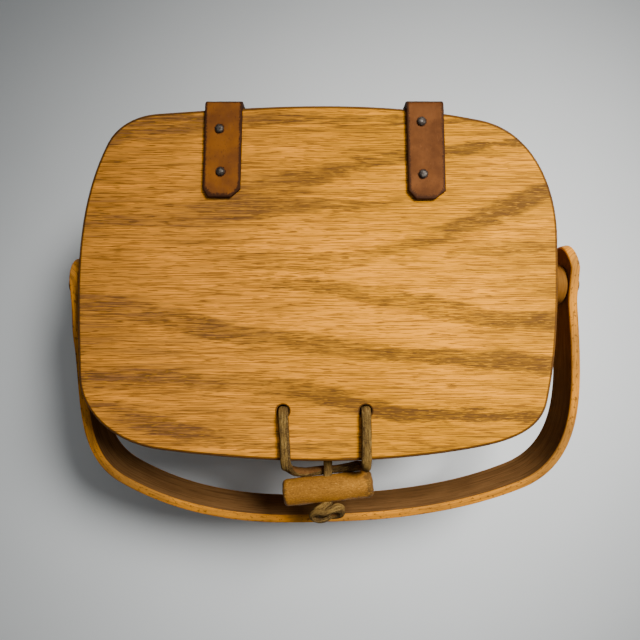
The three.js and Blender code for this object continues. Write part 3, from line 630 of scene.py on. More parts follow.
BAND_X = (-128, 128)
BAND_Y = (-90, 90)
BAND_HALF = 12
LID_BANDS = [
    [(-124, 31, 4, 0.4), (-100, 32, 4, 0.35), (-80, 32.5, 3.5, 0.35), (-60, 36, 6, 0.45),
     (-40, 43, 7.5, 0.6), (-20, 49, 8, 0.65), (0, 55, 5, 0.65), (20, 61, 3.2, 0.8), (40, 64, 2.8, 0.8),
     (60, 66.5, 2.8, 0.9), (80, 69, 2.6, 1), (100, 71, 2.2, 1), (110, 71.5, 2.2, 1)],
    [(-66, 31, 3, 0), (-60, 32, 3, 0.4), (-40, 36, 4, 0.55), (-20, 38.5, 3.8, 0.6), (0, 39, 3.4, 0.65),
     (20, 38.5, 3, 0.55), (40, 41, 2, 0.35), (52, 42, 2, 0)],
    [(-70, 13, 2.5, 0), (-60, 13, 3, 0.25), (-40, 11, 5, 0.35), (-20, 11, 6, 0.5), (0, 10, 6, 0.5),
     (20, 13, 5, 0.4), (40, 19, 4, 0.5), (60, 25, 4.5, 0.75), (80, 33, 6, 0.95), (100, 41, 6.2, 1),
     (112, 46, 5.2, 1)],
    [(-44, 3, 2, 0), (-36, 2, 2.5, 0.4), (-20, -1, 3.5, 0.7), (0, -2.5, 3.6, 0.75), (20, -5, 4.5, 0.65),
     (40, -9, 5.5, 0.75), (60, -14, 6.2, 0.9), (80, -18, 5.2, 0.9), (100, -19, 4.8, 0.9),
     (118, -20, 5, 0.9)],
    [(24, 10, 1.5, 0), (40, 11, 2, 0.4), (60, 12, 2, 0.4), (70, 16, 2, 0.5), (90, 17, 2.4, 0.55),
     (118, 18, 2.2, 0.5)],
    [(-126, -11, 7, 0.35), (-100, -13, 6, 0.42), (-80, -19, 6.5, 0.75), (-60, -23, 6.5, 0.9),
     (-40, -27.5, 5.5, 0.7), (-20, -29, 5.5, 0.7), (0, -33, 5.5, 0.8), (20, -35.5, 4.6, 0.9),
     (40, -37, 3.2, 0.9), (60, -37.5, 3.4, 0.9), (80, -39, 4.8, 0.9), (100, -41, 5.2, 0.95),
     (116, -42, 5, 0.95)],
    [(-124, -49, 5, 0.6), (-100, -49, 5, 0.6), (-80, -49, 4.6, 0.6), (-60, -51, 5, 0.65),
     (-40, -51.5, 4.6, 0.62), (-20, -53, 5, 0.75), (0, -58, 6, 0.85), (20, -63, 4.8, 0.95),
     (40, -67, 3.4, 1), (60, -67.5, 3.4, 0.95), (80, -68, 3.4, 1), (108, -68.5, 3, 0.9)],
    [(-116, -64, 4, 0.3), (-95, -70, 5, 0.65), (-75, -75, 5.5, 0.7), (-50, -79, 3.6, 0.6),
     (-30, -83, 2.6, 0.5), (0, -84.5, 2, 0.45), (34, -84, 1.8, 0.35)],
    [(-116, 73, 4, 0.55), (-85, 76.5, 4, 0.45), (-60, 79, 3, 0.4), (-44, 80, 3, 0)],
    [(60, 83, 2, 0.6), (92, 79, 2, 0.6)],
]
BASE_BANDS = [
    [(-90, 20, 5, 0.8), (0, 26, 8, 0.9), (90, 22, 4, 0.7)],
    [(-90, -14, 3, 0.6), (0, -20, 6, 0.8), (90, -16, 5, 0.7)],
]
BASE_SHADE = 0.85
GOLD = (1.0, 0.55, 0.05)


def late_wood(s, bands):
    """How strongly the late wood shows at a place: the strongest of the bands there."""
    place = s.place_mm()
    x = s.evenly(s.axis(place, 0), *BAND_X, 0, 1)
    y = s.plus(s.axis(place, 1), s.evenly(s.noise((17, 2.6, 6), 3.0, 0.65), 0.2, 0.8, -3.6, 3.6))
    strongest = 0.0
    for band in bands:
        stops = [((at - BAND_X[0]) / (BAND_X[1] - BAND_X[0]),
                  ((middle - BAND_Y[0]) / (BAND_Y[1] - BAND_Y[0]), half / BAND_HALF, strength))
                 for at, middle, half, strength in band]
        values = s.step("ShaderNodeSeparateColor", {0: s.ramp(x, stops)}).node.outputs
        away = s.math("ABSOLUTE", s.less(y, s.evenly(values[0], 0, 1, *BAND_Y)))
        away = s.math("DIVIDE", away, s.times(values[1], BAND_HALF))
        strongest = s.math("MAXIMUM", s.times(s.span(away, 1.3, 0.55), values[2]), strongest)
    return strongest


def oak_material(name, bands, shade=1.0):
    def tone(*rgb):
        return tuple(value * shade for value in rgb)

    s = Surface(name)
    bands = late_wood(s, bands)
    bands = s.times(bands, s.span(s.noise((30, 9, 20), shift=(2, 8, 5)), 0.34, 0.54, 0.7, 1.0))
    lines = s.noise((34, 0.5, 1.0), 3.0, 0.65)
    streaks = s.noise((45, 2.8, 3.5), 2.0, 0.55, (3, 7, 1))
    broad = s.noise((80, 22, 30), shift=(9, 2, 5))
    light = 0.86
    for marks, depth in ((lines, 0.42), (streaks, 0.3), (broad, 0.2)):
        light = s.plus(light, s.evenly(marks, 0.25, 0.75, -depth, depth))
    light = s.less(light, s.times(bands, 0.72))
    # Painted sheen: the wood is painted lighter round a spot right of the lid's middle, as a broad painted
    # highlight.
    centre = s.step("ShaderNodeVectorMath", {0: s.place_mm((1.6, 0.8, 100)), 1: (8, -12, 1)}, 1,
                    operation="DISTANCE")
    light = s.plus(light, s.span(centre, 8, 88, 0.38, 0.0))
    wood = s.ramp(s.times(light, 0.7), [
        (0.0, tone(0.16, 0.07, 0.013)), (0.3, tone(0.37, 0.153, 0.01)), (0.5, tone(0.59, 0.232, 0.003)),
        (0.7, tone(0.79, 0.298, 0.001)), (0.9, tone(1.03, 0.38, 0.001))])
    # Painted shade tint: more blue towards the left, the side of the lid in shade.
    from_left = s.axis(s.place_mm(), 0)
    wood = s.mix(s.span(from_left, 60, -110), wood, (0.0, 0.0, 0.025), "ADD")

    # Open pores: short dashes everywhere, and thick brown ones inside the bands
    thick = s.less(s.noise((12, 0.8, 1.0), 2.0, 0.55, (4, 1, 7)), s.less(0.7, s.times(bands, 0.27)))
    thick = s.times(thick, 16.0, clamp=True)
    wood = s.mix(s.times(thick, 0.78), wood, tone(0.19, 0.083, 0.018))
    dashes = s.noise((9, 0.36, 0.42), 1.0, 0.5, (1.3, 4.4, 0))
    pores = s.times(s.less(dashes, s.less(0.6, s.times(bands, 0.06))), 26.0, clamp=True)
    long_dashes = s.noise((20, 0.36, 0.6), 1.0, 0.5, (8.3, 0.4, 2))
    pores = s.math("MAXIMUM", pores, s.span(long_dashes, 0.57, 0.62, 0.0, 0.9))
    wood = s.mix(s.times(pores, 0.78), wood, tone(0.12, 0.052, 0.018))
    # Painted sheen: fine light flecks inside the late-wood bands, as satin glints.
    flecks = s.noise((5, 0.4, 0.5), 1.0, 0.5, (0.7, 3.9, 6))
    bright = s.times(s.span(flecks, 0.6, 0.7), s.span(bands, 0.1, 0.9, 0.1, 0.75))
    wood = s.mix(bright, wood, tone(0.72, 0.3, 0.012))

    # Painted shade: the rounded rim and the walls of the lace holes are painted darker than the flat faces
    facing = s.axis(s.coordinates.outputs["Normal"], 2)
    rim = s.span(s.math("ABSOLUTE", facing), 0.999, 0.985)
    wood = s.mix(s.times(rim, 0.88), wood, tone(0.085, 0.037, 0.012))
    s.set(Base_Color=wood, Roughness=s.evenly(pores, 0.0, 1.0, 0.42, 0.62), Specular_IOR_Level=0.06,
          Specular_Tint=GOLD)
    s.relief(s.less(s.times(lines, 0.7), pores), 0.12, 0.6)
    return s.material


def strip_wood(name, dark, light, deep, roughness, fine=1.0, spots=0.0, ends=None, gloss=0.07):
    """Bentwood and splint: long straight grain that follows the strip, with dark ends if asked, partly
    wear and partly painted shade.
    """
    s = Surface(name)
    long_grain = s.noise((60 * fine, 1.6 * fine), 3.0, 0.6)
    lines = s.span(s.noise((14 * fine, 0.45 * fine), shift=(5, 2, 0)), 0.56, 0.66, 0.0, 0.6)
    wood = s.mix(s.span(s.noise((45, 14), shift=(2, 6, 1)), 0.3, 0.7), dark, light)
    wood = s.mix(s.span(long_grain, 0.42, 0.7, 0.0, 0.6), wood, deep)
    wood = s.mix(lines, wood, deep)
    if spots:
        marks = s.noise((2.2, 0.9), 2.0, 0.6, (11, 3, 4))
        wood = s.mix(s.span(marks, 0.56, 0.68, 0.0, spots), wood, (0.14, 0.058, 0.014))
    if ends:
        # Darker towards each end: partly weathering, partly painted shade.
        middle, wear_and_shade_from = ends
        away = s.math("ABSOLUTE", s.less(s.axis(s.place_mm((1, 1)), 0), middle))
        ragged = s.noise((2.5, 2.5, 2.5), 2.0, 0.6, (1, 4, 4))
        away = s.plus(away, s.span(ragged, 0.3, 0.7, -1.6, 1.6))
        wood = s.mix(s.span(away, wear_and_shade_from, wear_and_shade_from + 3.2, 0.0, 0.85), wood, (0.1, 0.05, 0.015))
        speckle = s.noise((1.1, 0.6, 0.6), 3.0, 0.7, (6, 1, 2))
        wood = s.mix(s.span(speckle, 0.5, 0.36, 0.0, 0.55), wood, deep)
        wood = s.mix(s.span(speckle, 0.55, 0.7, 0.0, 0.6), wood, (0.66, 0.31, 0.05))
    wear = s.noise((7, 7, 7), 3.0, 0.6)
    s.set(Base_Color=wood, Roughness=s.span(wear, 0.3, 0.7, roughness - 0.07, roughness + 0.1),
          Specular_IOR_Level=gloss, Specular_Tint=GOLD)
    s.relief(s.less(s.times(long_grain, 0.6), lines), 0.08, 0.5)
    return s.material


def strap_material(name, light, dark):
    """Tan leather: cloudy dye, fine pebbles and scratches, and dark fuzzy edges, partly wear and partly
    painted shade, with painted shade at the bend and a painted shadow round each nail.
    """
    s = Surface(name)
    clouds = s.noise((13, 13, 13), 3.0, 0.55)
    pebbles = s.step("ShaderNodeTexVoronoi", {"Vector": s.place_mm((0.7, 0.7, 0.7)), "Scale": 1.0},
                     feature="DISTANCE_TO_EDGE")
    hide = s.mix(s.span(clouds, 0.3, 0.7), light, dark)
    scratch = s.noise((1.6, 11, 9), 1.0, 0.5, (4, 1, 0), 1.6)
    scratches = s.span(s.math("ABSOLUTE", s.less(scratch, 0.62)), 0.012, 0.0, 0.0, 0.28)
    hide = s.mix(scratches, hide, (0.3, 0.12, 0.045))
    specks = s.noise((0.7, 1.1, 0.9), 1.0, 0.5, (3, 3, 8))
    hide = s.mix(s.span(specks, 0.66, 0.74, 0.0, 0.5), hide, (0.07, 0.025, 0.01))
    # The edge layer darkens the leather: wear and painted shade at the edges, painted shade at the bend
    # and lower side, and a painted shadow round each nail.
    frayed = s.noise((0.8, 0.8, 0.8), 2.0, 0.6, (2, 2, 2))
    wear_and_shade = s.plus(s.axis(s.layer("edge"), 0), s.span(frayed, 0.3, 0.7, -0.16, 0.16))
    hide = s.mix(s.span(wear_and_shade, 0.3, 0.7), hide, (0.042, 0.016, 0.008))
    s.set(Base_Color=hide, Roughness=s.span(clouds, 0.3, 0.7, 0.48, 0.62), Specular_IOR_Level=0.1,
          Specular_Tint=(1.0, 0.6, 0.35))
    height = s.plus(s.span(pebbles, 0.0, 0.2, 0.0, 0.5), s.times(clouds, 0.8))
    s.relief(s.less(height, scratches), 0.1, 0.45)
    return s.material


def lace_material(name, around):
    """Suede lace: mottled olive nap, darker along the sides (dark edges and painted shade), painted light
    on ridges and painted shade in creases, with red-brown skin below.
    """
    s = Surface(name)
    nap = s.noise((0.55, 0.55, 0.55), 3.0, 0.7)
    clouds = s.noise((6, 3), 3.0, 0.6, (1, 5, 2))
    creases = s.noise((5, 0.8), 2.0, 0.55, (6, 2, 0))
    place = s.axis(s.place_mm((1, around)), 1)
    turn = s.math("COSINE", s.times(s.less(place, 0.14), 4 * math.pi))
    suede = s.mix(s.span(clouds, 0.35, 0.65), (0.185, 0.105, 0.026), (0.1, 0.054, 0.015))
    # Darker along the sides: partly the lace's dark edges, partly painted shade.
    suede = s.mix(s.span(turn, 0.4, -0.6, 0.0, 0.85), suede, (0.05, 0.026, 0.009))
    # Painted light on the ridges and painted shade in the creases.
    suede = s.mix(s.span(creases, 0.54, 0.66, 0.0, 0.5), suede, (0.4, 0.25, 0.07))
    suede = s.mix(s.span(creases, 0.46, 0.34, 0.0, 0.7), suede, (0.04, 0.02, 0.008))
    skin = s.times(s.span(place, 0.5, 0.54), s.span(place, 0.8, 0.76))
    suede = s.mix(s.times(skin, 0.85), suede, (0.15, 0.052, 0.014))
    suede = s.mix(s.span(nap, 0.45, 0.7, 0.0, 0.5), suede, (0.32, 0.2, 0.06))
    suede = s.mix(s.span(nap, 0.47, 0.3, 0.0, 0.5), suede, (0.05, 0.026, 0.01))
    s.set(Base_Color=suede, Roughness=0.95, Specular_IOR_Level=0.05)
    s.relief(s.plus(nap, creases), 0.35, 1.0)
    return s.material


def metal_material(name, bright, dull, roughness):
    """Aged metal: cloudy patina and small dents."""
    s = Surface(name)
    patina = s.noise((1.2, 1.2, 1.2), 4.0, 0.65)
    s.set(Base_Color=s.mix(s.span(patina, 0.38, 0.6), bright, dull), Metallic=0.8,
          Roughness=s.span(patina, 0.3, 0.7, roughness, roughness + 0.25))
    s.relief(s.noise((0.9, 0.9, 0.9), shift=(5, 5, 5)), 0.16, 0.6)
    return s.material


def floor_material():
    s = Surface("floor_cloth")
    clouds = s.noise((90, 90, 90))
    s.set(Base_Color=s.mix(clouds, (0.74, 0.77, 0.78), (0.8, 0.83, 0.84)), Roughness=0.95,
          Specular_IOR_Level=0.1)
    return s.material


OAK = oak_material("oak", LID_BANDS)
OAK_BASE = oak_material("oak_base", BASE_BANDS, BASE_SHADE)
BENTWOOD = strip_wood("bentwood", (0.44, 0.185, 0.028), (0.86, 0.315, 0.012), (0.18, 0.076, 0.018),
                      0.46, 0.7, spots=0.8)
# A darker copy of the bentwood for the handle's inner face: painted shade.
BENTWOOD_INSIDE_PAINTED_SHADE = strip_wood("bentwood_inside_painted_shade", (0.14, 0.067, 0.022), (0.21, 0.103, 0.035),
                             (0.07, 0.032, 0.011), 0.6, 0.7, gloss=0.0)
HOOPWOOD = strip_wood("hoopwood", (0.4, 0.155, 0.022), (0.53, 0.205, 0.025), (0.2, 0.08, 0.016), 0.46)
SPLINT = strip_wood("splint", (0.46, 0.24, 0.06), (0.62, 0.35, 0.11), (0.24, 0.12, 0.03), 0.6, 0.8)
STAKE = strip_wood("stake", (0.38, 0.19, 0.05), (0.52, 0.28, 0.085), (0.2, 0.095, 0.026), 0.6, 0.8)
DISC_WOOD = strip_wood("disc_wood", (0.15, 0.06, 0.012), (0.22, 0.088, 0.014), (0.08, 0.032, 0.008),
                       0.5, 0.6)
PEG_WOOD = strip_wood("peg_wood", (0.3, 0.125, 0.018), (0.52, 0.22, 0.024), (0.16, 0.068, 0.016),
                      0.48, 0.35, spots=0.6, ends=(PEG_GRAIN_LENGTH / 2, PEG_WEAR_AND_SHADE_FROM))
LEATHER = {
    "left": strap_material("strap_leather_left", (0.265, 0.086, 0.013), (0.155, 0.05, 0.012)),
    "right": strap_material("strap_leather_right", (0.17, 0.057, 0.014), (0.092, 0.031, 0.01)),
}
LACE_LEATHER = lace_material("lace_leather", LACE_AROUND)
NAIL_STEEL = metal_material("nail_steel", (0.13, 0.112, 0.095), (0.04, 0.03, 0.024), 0.45)
RIVET_METAL = metal_material("rivet_metal", (0.09, 0.05, 0.03), (0.03, 0.016, 0.01), 0.4)


# Laces come first, because the loop is a free cord

def lace(route, width, thickness, start_out, twist=(0, 0), seed=1, rounding=1.6, sizes=(1, 1)):
    """A soft strip along a route, with its turn and size at even steps. Returns it and its path."""
    path = resample(through(route), 7 * len(route))
    share = np.linspace(0, 1, len(path))
    across, out = rolling_frames(path, start_out)
    turn = np.radians(np.interp(share, np.linspace(0, 1, len(twist)), twist))[:, None]
    across, out = across * np.cos(turn) + out * np.sin(turn), out * np.cos(turn) - across * np.sin(turn)
    along = lengths_along(path)
    wobble = np.array([noise.noise(Vector((a * 0.16, seed * 3.7, 0))) for a in along])
    size = np.interp(share, np.linspace(0, 1, len(sizes)), sizes) * (1 + LACE_WOBBLE * wobble)
    section, around = rounded_section(width, thickness, rounding, 4)
    points = swept(path, across, out, section, size)
    shape = Shape()
    shape.grid(points, along, around, wrap_across=True)
    for ring in (points[0], points[-1]):
        shape.cap(ring, section)
    return shape, path


def make_loop_lace():
    shape, path = lace(LOOP_ROUTE, LACE_WIDTH, LACE_THICKNESS, (0, 1, 0), LOOP_TWIST)
    piece = place_piece("loop_lace", shape, LACE_LEATHER, "lid", "lid_loop_lace")


def make_toggle_lace():
    """The lace through the rim and the peg, with its knot in front and another inside the rim."""
    shape, _ = lace(TOGGLE_KNOT_ROUTE, TOGGLE_LACE_WIDTH, TOGGLE_LACE_THICKNESS, (0, 0, 1), seed=2,
                    rounding=1.4, sizes=TOGGLE_KNOT_SIZES)
    place_piece("toggle_lace_front", shape, LACE_LEATHER, "basket", "toggle_lace")
    knot = [(TOGGLE_X + INNER_KNOT_SIZE * (math.sin(t) + 1.6 * math.sin(2 * t)),
             INNER_KNOT_Y + INNER_KNOT_DEPTH * math.sin(3 * t),
             TOGGLE_Z + INNER_KNOT_SIZE * (math.cos(t) - 1.6 * math.cos(2 * t)))
            for t in np.radians(np.linspace(40, 330, 15))]
    shape, _ = lace(knot, *INNER_KNOT_LACE, (0, 1, 0), seed=3, rounding=1.3)
    place_piece("toggle_lace_knot", shape, LACE_LEATHER, "basket")


def make_lid():
    count = 320
    loop = resample(smooth_line(LID_PLACES, LID_WAYS, 100), count + 1)[:-1]
    r = LID_ROUNDING
    profile = ([(r + LID_FACE_INSET, LID_TOP)] + arc((r, LID_TOP - r), r, 90, 180, 5)
               + arc((r, LID_BOTTOM + r), r, 180, 270, 5) + [(r + LID_FACE_INSET, LID_BOTTOM)])
    shape = Shape(fill_levels=(LID_TOP, LID_BOTTOM))
    shape.grid(inset_rings(loop, profile), lengths_round(loop), lengths_along(profile), wrap_along=True)

    # Lace holes with worn edges
    sides = 48
    hole = ([(LACE_HOLE_RADIUS + wider, LID_TOP - down) for wider, down in LACE_HOLE_WEAR]
            + [(LACE_HOLE_RADIUS + wider, LID_BOTTOM + up) for wider, up in reversed(LACE_HOLE_WEAR)])
    for x in (-LACE_HOLE_X, LACE_HOLE_X):
        shape.grid(turned_points(hole, sides) + np.array((x, LACE_HOLE_Y, 0)), np.arange(sides + 1),
                   lengths_along(hole), wrap_along=True)
    place_piece("lid_board", shape, OAK, "lid", "oak_lid", sharp=50)


# Nails and straps

def head_of(vertices):
    """A nail's seat and way out: its length is its longest axis, and its head is the wide end."""
    centre = vertices.mean(axis=0)
    _, _, axes = np.linalg.svd(vertices - centre, full_matrices=False)
    along = (vertices - centre) @ axes[0]
    aside = np.linalg.norm(vertices - centre - along[:, None] * axes[0], axis=1)
    head = aside > NAIL_HEAD_RADIUS * 0.9
    return vertices[head].mean(axis=0), axes[0] if along[head].mean() > 0 else -axes[0]


def make_nails():
    """Each domed head sits where its solid's head is, and faces the way the solid does."""
    r, h = NAIL_HEAD_RADIUS, NAIL_HEAD_HEIGHT
    profile = [(r * 0.5, -0.3), (r * 0.94, -0.12), (r, 0.06)]
    profile += [(r * math.cos(a), h * math.sin(a) ** 0.9) for a in math.pi / 2 * np.arange(1, 8) / 8]
    profile.append((0.0, h * 0.97))
    groups = [("lid_nail", 4, "lid"), ("strap_nail", 4, "basket"), ("rim_nail", 10, "basket"),
              ("base_nail", 8, "basket")]
    seats = {}
    for prefix, count, body in groups:
        for k in range(1, count + 1):
            node = f"{prefix}_{k}"
            vertices = np.array([v.co for v in frame["nodes"][node].data.vertices]) / MM
            seats[node], outward = head_of(vertices)
            seed = len(seats)
            head = turned_shape(profile, 28, 0.06, seed, seats[node], outward, spin=seed * 1.7)
            place_piece(f"{node}_head", head, NAIL_STEEL, body, node)
    return seats


def strap_path(front, bottom):
    """A strap's whole length, the length of its flat leaf, and its middle line by length."""
    middle = STRAP_THICKNESS / 2
    radius = STRAP_INNER_BEND + middle
    bend_y = STRAP_REAR - STRAP_THICKNESS - STRAP_INNER_BEND
    bend_z = LID_TOP + GAP - STRAP_INNER_BEND
    flat = bend_y - front
    arc_length = radius * math.pi / 2

    def at(s):
        angle = np.clip((s - flat) / arc_length, 0, 1) * math.pi / 2
        y = front + np.minimum(s, flat) + radius * np.sin(angle)
        z = bend_z + radius * np.cos(angle) - np.maximum(0, s - flat - arc_length)
        return y, z, np.stack((np.zeros_like(s), np.sin(angle), np.cos(angle)), axis=-1)

    return flat + arc_length + bend_z - bottom, flat, at


def rough_outline(corners, spacing, amount, seed):
    """A polygon with points along its sides, each nudged a little as a knife leaves it."""
    points = []
    corners = np.array(corners, float)
    for a, b in zip(corners, np.roll(corners, -1, axis=0)):
        steps = max(1, int(np.linalg.norm(b - a) / spacing))
        points.extend(a + (b - a) * k / steps for k in range(steps))
    points = np.array(points)
    centre = points.mean(axis=0)
    for p in points:
        wave = noise.noise(Vector((*p * 0.9, seed))) + 0.6 * noise.noise(Vector((*p * 0.22, seed + 5)))
        p += (p - centre) / np.linalg.norm(p - centre) * amount * wave
    return points


def mark_wear_and_shade(bm, sign, total, flat_length, nails):
    """A layer whose first value tells how dark a place is painted: near an edge (wear and painted shade),
    on the lower side and across the bend (painted shade), or round a nail (painted shadow).
    """
    half = STRAP_WIDTH / 2
    layer = bm.loops.layers.uv.new("edge")
    for face in bm.faces:
        for loop in face.loops:
            s, across, h = loop.vert.co
            end = min(s, total - s)
            clip = STRAP_CLIP_DEPTH if s < total / 2 else STRAP_REAR_CLIP
            inside = min(half - abs(across), end, (half - abs(across) + end - clip) * 0.75)
            wear = 1 - inside / (FRONT_WEAR_AND_SHADE_WIDTH if s < STRAP_FRONT_END else SIDE_WEAR_AND_SHADE_WIDTH)
            # Painted shade on the lower side.
            if h < STRAP_THICKNESS * 0.28:
                wear = max(wear, 0.8)
            # Painted shade across the bend.
            wear = max(wear, math.exp(-((s - flat_length - BEND_SHADE_AT) / BEND_SHADE_WIDTH) ** 2))
            x = sign * (STRAP_SPACING / 2 + STRAP_SPLAY * max(0, flat_length - s)) - across
            # A painted shadow ring round each nail head, as from its dent.
            for nail_x, nail_s in nails:
                away = math.hypot(x - nail_x, s - nail_s) - NAIL_HEAD_RADIUS
                wear = max(wear, 0.75 * math.exp(-(away / NAIL_SHADOW_WIDTH) ** 2))
            loop[layer].uv = (wear, 0)


def make_strap(side, sign, seats):
    """A strap bent over the rear edge. seats are the heads of its two lid nails and two rim nails."""
    low, _ = node_box(f"hinge_strap_{side}")
    total, flat_length, at = strap_path(low[1], low[2])
    nails = np.array([(x, y - low[1]) for x, y, _ in seats[:2]]
                     + [(x, total + low[2] - z) for x, _, z in seats[2:]])
    half, rear = STRAP_WIDTH / 2, total - STRAP_REAR_CLIP
    clip_left, clip_right = STRAP_CLIPS[side]
    corners = [(0, half - clip_left), (0, clip_right - half), (STRAP_CLIP_DEPTH, -half), (rear, -half),
               (total, STRAP_REAR_CLIP - half), (total, half - STRAP_REAR_CLIP), (rear, half),
               (STRAP_CLIP_DEPTH, half)]
    bm = plate(rough_outline(corners, 0.9, 0.1, 3.0 + sign), STRAP_THICKNESS, STRAP_ROUNDING, 0.9, 0.9)
    mark_wear_and_shade(bm, sign, total, flat_length, nails)

    def bend(flat):
        s, across, h = flat.T
        y, z, out = at(s)
        x = sign * STRAP_SPACING / 2 - across + sign * STRAP_SPLAY * np.maximum(0, flat_length - s)
        lift = np.array([STRAP_WAVE * noise.noise(Vector((p[0] * 0.09, p[1] * 0.12, sign * 4.0)))
                         + STRAP_PEBBLES * noise.noise(Vector((p[0] * 0.6, p[1] * 0.6, sign * 9.0)))
                         for p in flat])
        apart = (x[:, None] - nails[None, :, 0]) ** 2 + (s[:, None] - nails[None, :, 1]) ** 2
        press = np.exp(-apart / NAIL_PRESS_WIDTH ** 2).max(axis=1)
        height = h + np.where(h > 0, lift * (1 - press) - NAIL_PRESS * press, 0.0)
        return np.stack((x, y, z), axis=1) + out * height[:, None]

    piece = place_piece(f"strap_{side}", bent_mesh(f"strap_{side}", bm, bend), LEATHER[side], None,
                        f"hinge_strap_{side}", sharp=60)
    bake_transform(piece)


# Handle and closure

def make_handle():
    line = np.vstack((
        [(PIVOT_X - LEG_END_LEAN, RIGHT_LEG_BEYOND), (PIVOT_X, EAR_DISC_RADIUS)],
        smooth_line(BOW_PLACES, BOW_WAYS, 60),
        [(-PIVOT_X, LEFT_LEG_BEYOND)]))
    line = resample(line * (1, -1), 400)
    total = lengths_along(line)[-1]
    station = np.linspace(0, total, len(line))
    tangent = unit(np.gradient(line, axis=0))
    half = BAND_WIDTH / 2
    polygon = arc((half, 0), half, 90, 270, 20) + arc((total - half, 0), half, -90, 90, 20)
    bm = plate(polygon, BAND_THICKNESS, BAND_ROUNDING, 3.0, 4.0)
    # The inner face takes the darker copy of the bentwood, with painted shade.
    for face in bm.faces:
        if all(v.co.z < 0.01 - BAND_THICKNESS / 2 for v in face.verts):
            face.material_index = 1
    turn_cos, turn_sin = math.cos(HANDLE_DROOP), math.sin(HANDLE_DROOP)

    def bend(flat):
        s, across, h = flat.T
        wave = np.array([noise.noise(Vector((p[0] * 0.02, p[1] * 0.03, 2.0))) for p in flat])
        x = np.interp(s, station, line[:, 0]) + h * np.interp(s, station, tangent[:, 1])
        x = x + BAND_WAVE_ASIDE * wave
        reach = np.interp(s, station, line[:, 1]) - h * np.interp(s, station, tangent[:, 0])
        lift = across + BAND_WAVE_UP * wave
        return np.stack((x, -reach * turn_cos - lift * turn_sin,
                         PIVOT_Z - reach * turn_sin + lift * turn_cos), axis=1)

    band = place_piece("handle_band", bent_mesh("handle_band", bm, bend), BENTWOOD, "handle",
                       "handle_bow")
    band.data.materials.append(BENTWOOD_INSIDE_PAINTED_SHADE)


def make_pivots():
    """On each side, a wooden disc outside the rim, the rivet through it, and the rivet's burr."""
    hole = RIVET_RADIUS + GAP
    r, e, t = EAR_DISC_RADIUS, EAR_DISC_ROUNDING, EAR_DISC_THICKNESS
    disc = [(hole, 0)] + arc((r - e, e), e, -90, 0, 5) + arc((r - e, t - e), e, 0, 90, 5) + [(hole, t)]

    head = PIVOT_X + BAND_THICKNESS / 2 + GAP
    dome = RIVET_HEAD_HEIGHT - RIVET_HEAD_EDGE
    tail = RIM_HALF_WIDTH - RIM_DEPTH - 2 * GAP - BURR_THICKNESS
    r, length = RIVET_TAIL_RADIUS, RIVET_TAIL_LENGTH
    rivet = [(CENTRE, tail - length), (r * 0.7, tail - length * 0.95), (r, tail - length * 0.5), (r, tail),
             (RIVET_RADIUS, tail), (RIVET_RADIUS, head), (RIVET_HEAD_RADIUS - 0.3, head - 0.05)]
    rivet += [(RIVET_HEAD_RADIUS * math.cos(a), head + RIVET_HEAD_EDGE + dome * math.sin(a))
              for a in math.pi / 2 * np.arange(10) / 10]
    rivet.append((CENTRE, head + RIVET_HEAD_HEIGHT))

    r, e, t = BURR_RADIUS, BURR_EDGE, BURR_THICKNESS
    burr = [(hole, 0), (r - e, 0), (r, e), (r, t - e), (r - e, t), (hole, t), (hole, 0)]
    burr_x = RIM_HALF_WIDTH - RIM_DEPTH - GAP - t
    parts = [("disc", "ear_disc", disc, 64, 0.012, RIM_HALF_WIDTH + GAP, DISC_WOOD, "bentwood"),
             ("rivet", "pivot_rivet", rivet, 48, 0.0, 0, RIVET_METAL, "rivet_metal"),
             ("burr", "rivet_burr", burr, 40, 0.0, burr_x, RIVET_METAL, "rivet_metal")]
    for side, sign in (("left", -1), ("right", 1)):
        for name, node, profile, sides, jitter, x, material, slot in parts:
            shape = turned_shape(profile, sides, jitter, sign, (sign * x, 0, PIVOT_Z), (sign, 0, 0))
            place_piece(f"{name}_{side}", shape, material, "basket", f"{node}_{side}")


def make_peg():
    half, r, e = PEG_LENGTH / 2, PEG_RADIUS, PEG_ROUNDING
    steps = np.linspace(-half + e, half - e, 14)[1:-1]
    profile = ([(CENTRE, PEG_END_DENT - half)] + arc((r - e, -half + e), e, -90, 0, 7)
               + [(r + 0.12 * math.sin(step * 0.35), step) for step in steps]
               + arc((r - e, half - e), e, 0, 90, 7) + [(CENTRE, half - PEG_END_DENT)])
    peg = turned_shape(profile, 64, 0.014, 4, (TOGGLE_X, PEG_Y, TOGGLE_Z),
                       (math.cos(PEG_YAW), math.sin(PEG_YAW), 0), grain_along=True)
    place_piece("peg", peg, PEG_WOOD, "toggle", "toggle_peg", sharp=60)


# Hoops, woven wall and base

def hoop(face, thickness, bottom, top, lap_at):
    """A bent strip whose tapered ends overlap in a scarf."""
    count = 360
    loop = rim_outline(count)
    loop = np.roll(loop, -int(lap_at * count), axis=0)
    out = normals_of(loop)
    along = lengths_round(loop)
    total = along[-1]
    stations = np.arange(count + int(HOOP_LAP / total * count) + 1)
    where = np.interp(stations % count, np.arange(count + 1), along) + total * (stations // count)
    lap = where[-1] - total
    rows = []
    for station, along in zip(stations, where):
        outer = face + np.clip(1 - along / lap, 0, 1) * (thickness - HOOP_LAP_EDGE)
        inner = face + thickness - np.clip((along - total) / lap, 0, 1) * (thickness - HOOP_LAP_EDGE)
        corner = min(HOOP_ROUNDING, (inner - outer) * 0.45)
        near, far, low, high = outer + corner, inner - corner, bottom + corner, top - corner
        section = []
        for place, start in (((near, high), 180), ((far, high), 90), ((far, low), 0), ((near, low), -90)):
            section += arc(place, corner, start, start - 90, 3)
        k = station % count
        rows.append([(*(loop[k] - out[k] * inset), z) for inset, z in section])
    points = np.array(rows)
    shape = Shape()
    shape.grid(points, where, lengths_round(points[len(points) // 2]), wrap_across=True)
    for ring in (points[0], points[-1]):
        shape.cap(ring, [(p[2], p[0]) for p in ring])
    return shape


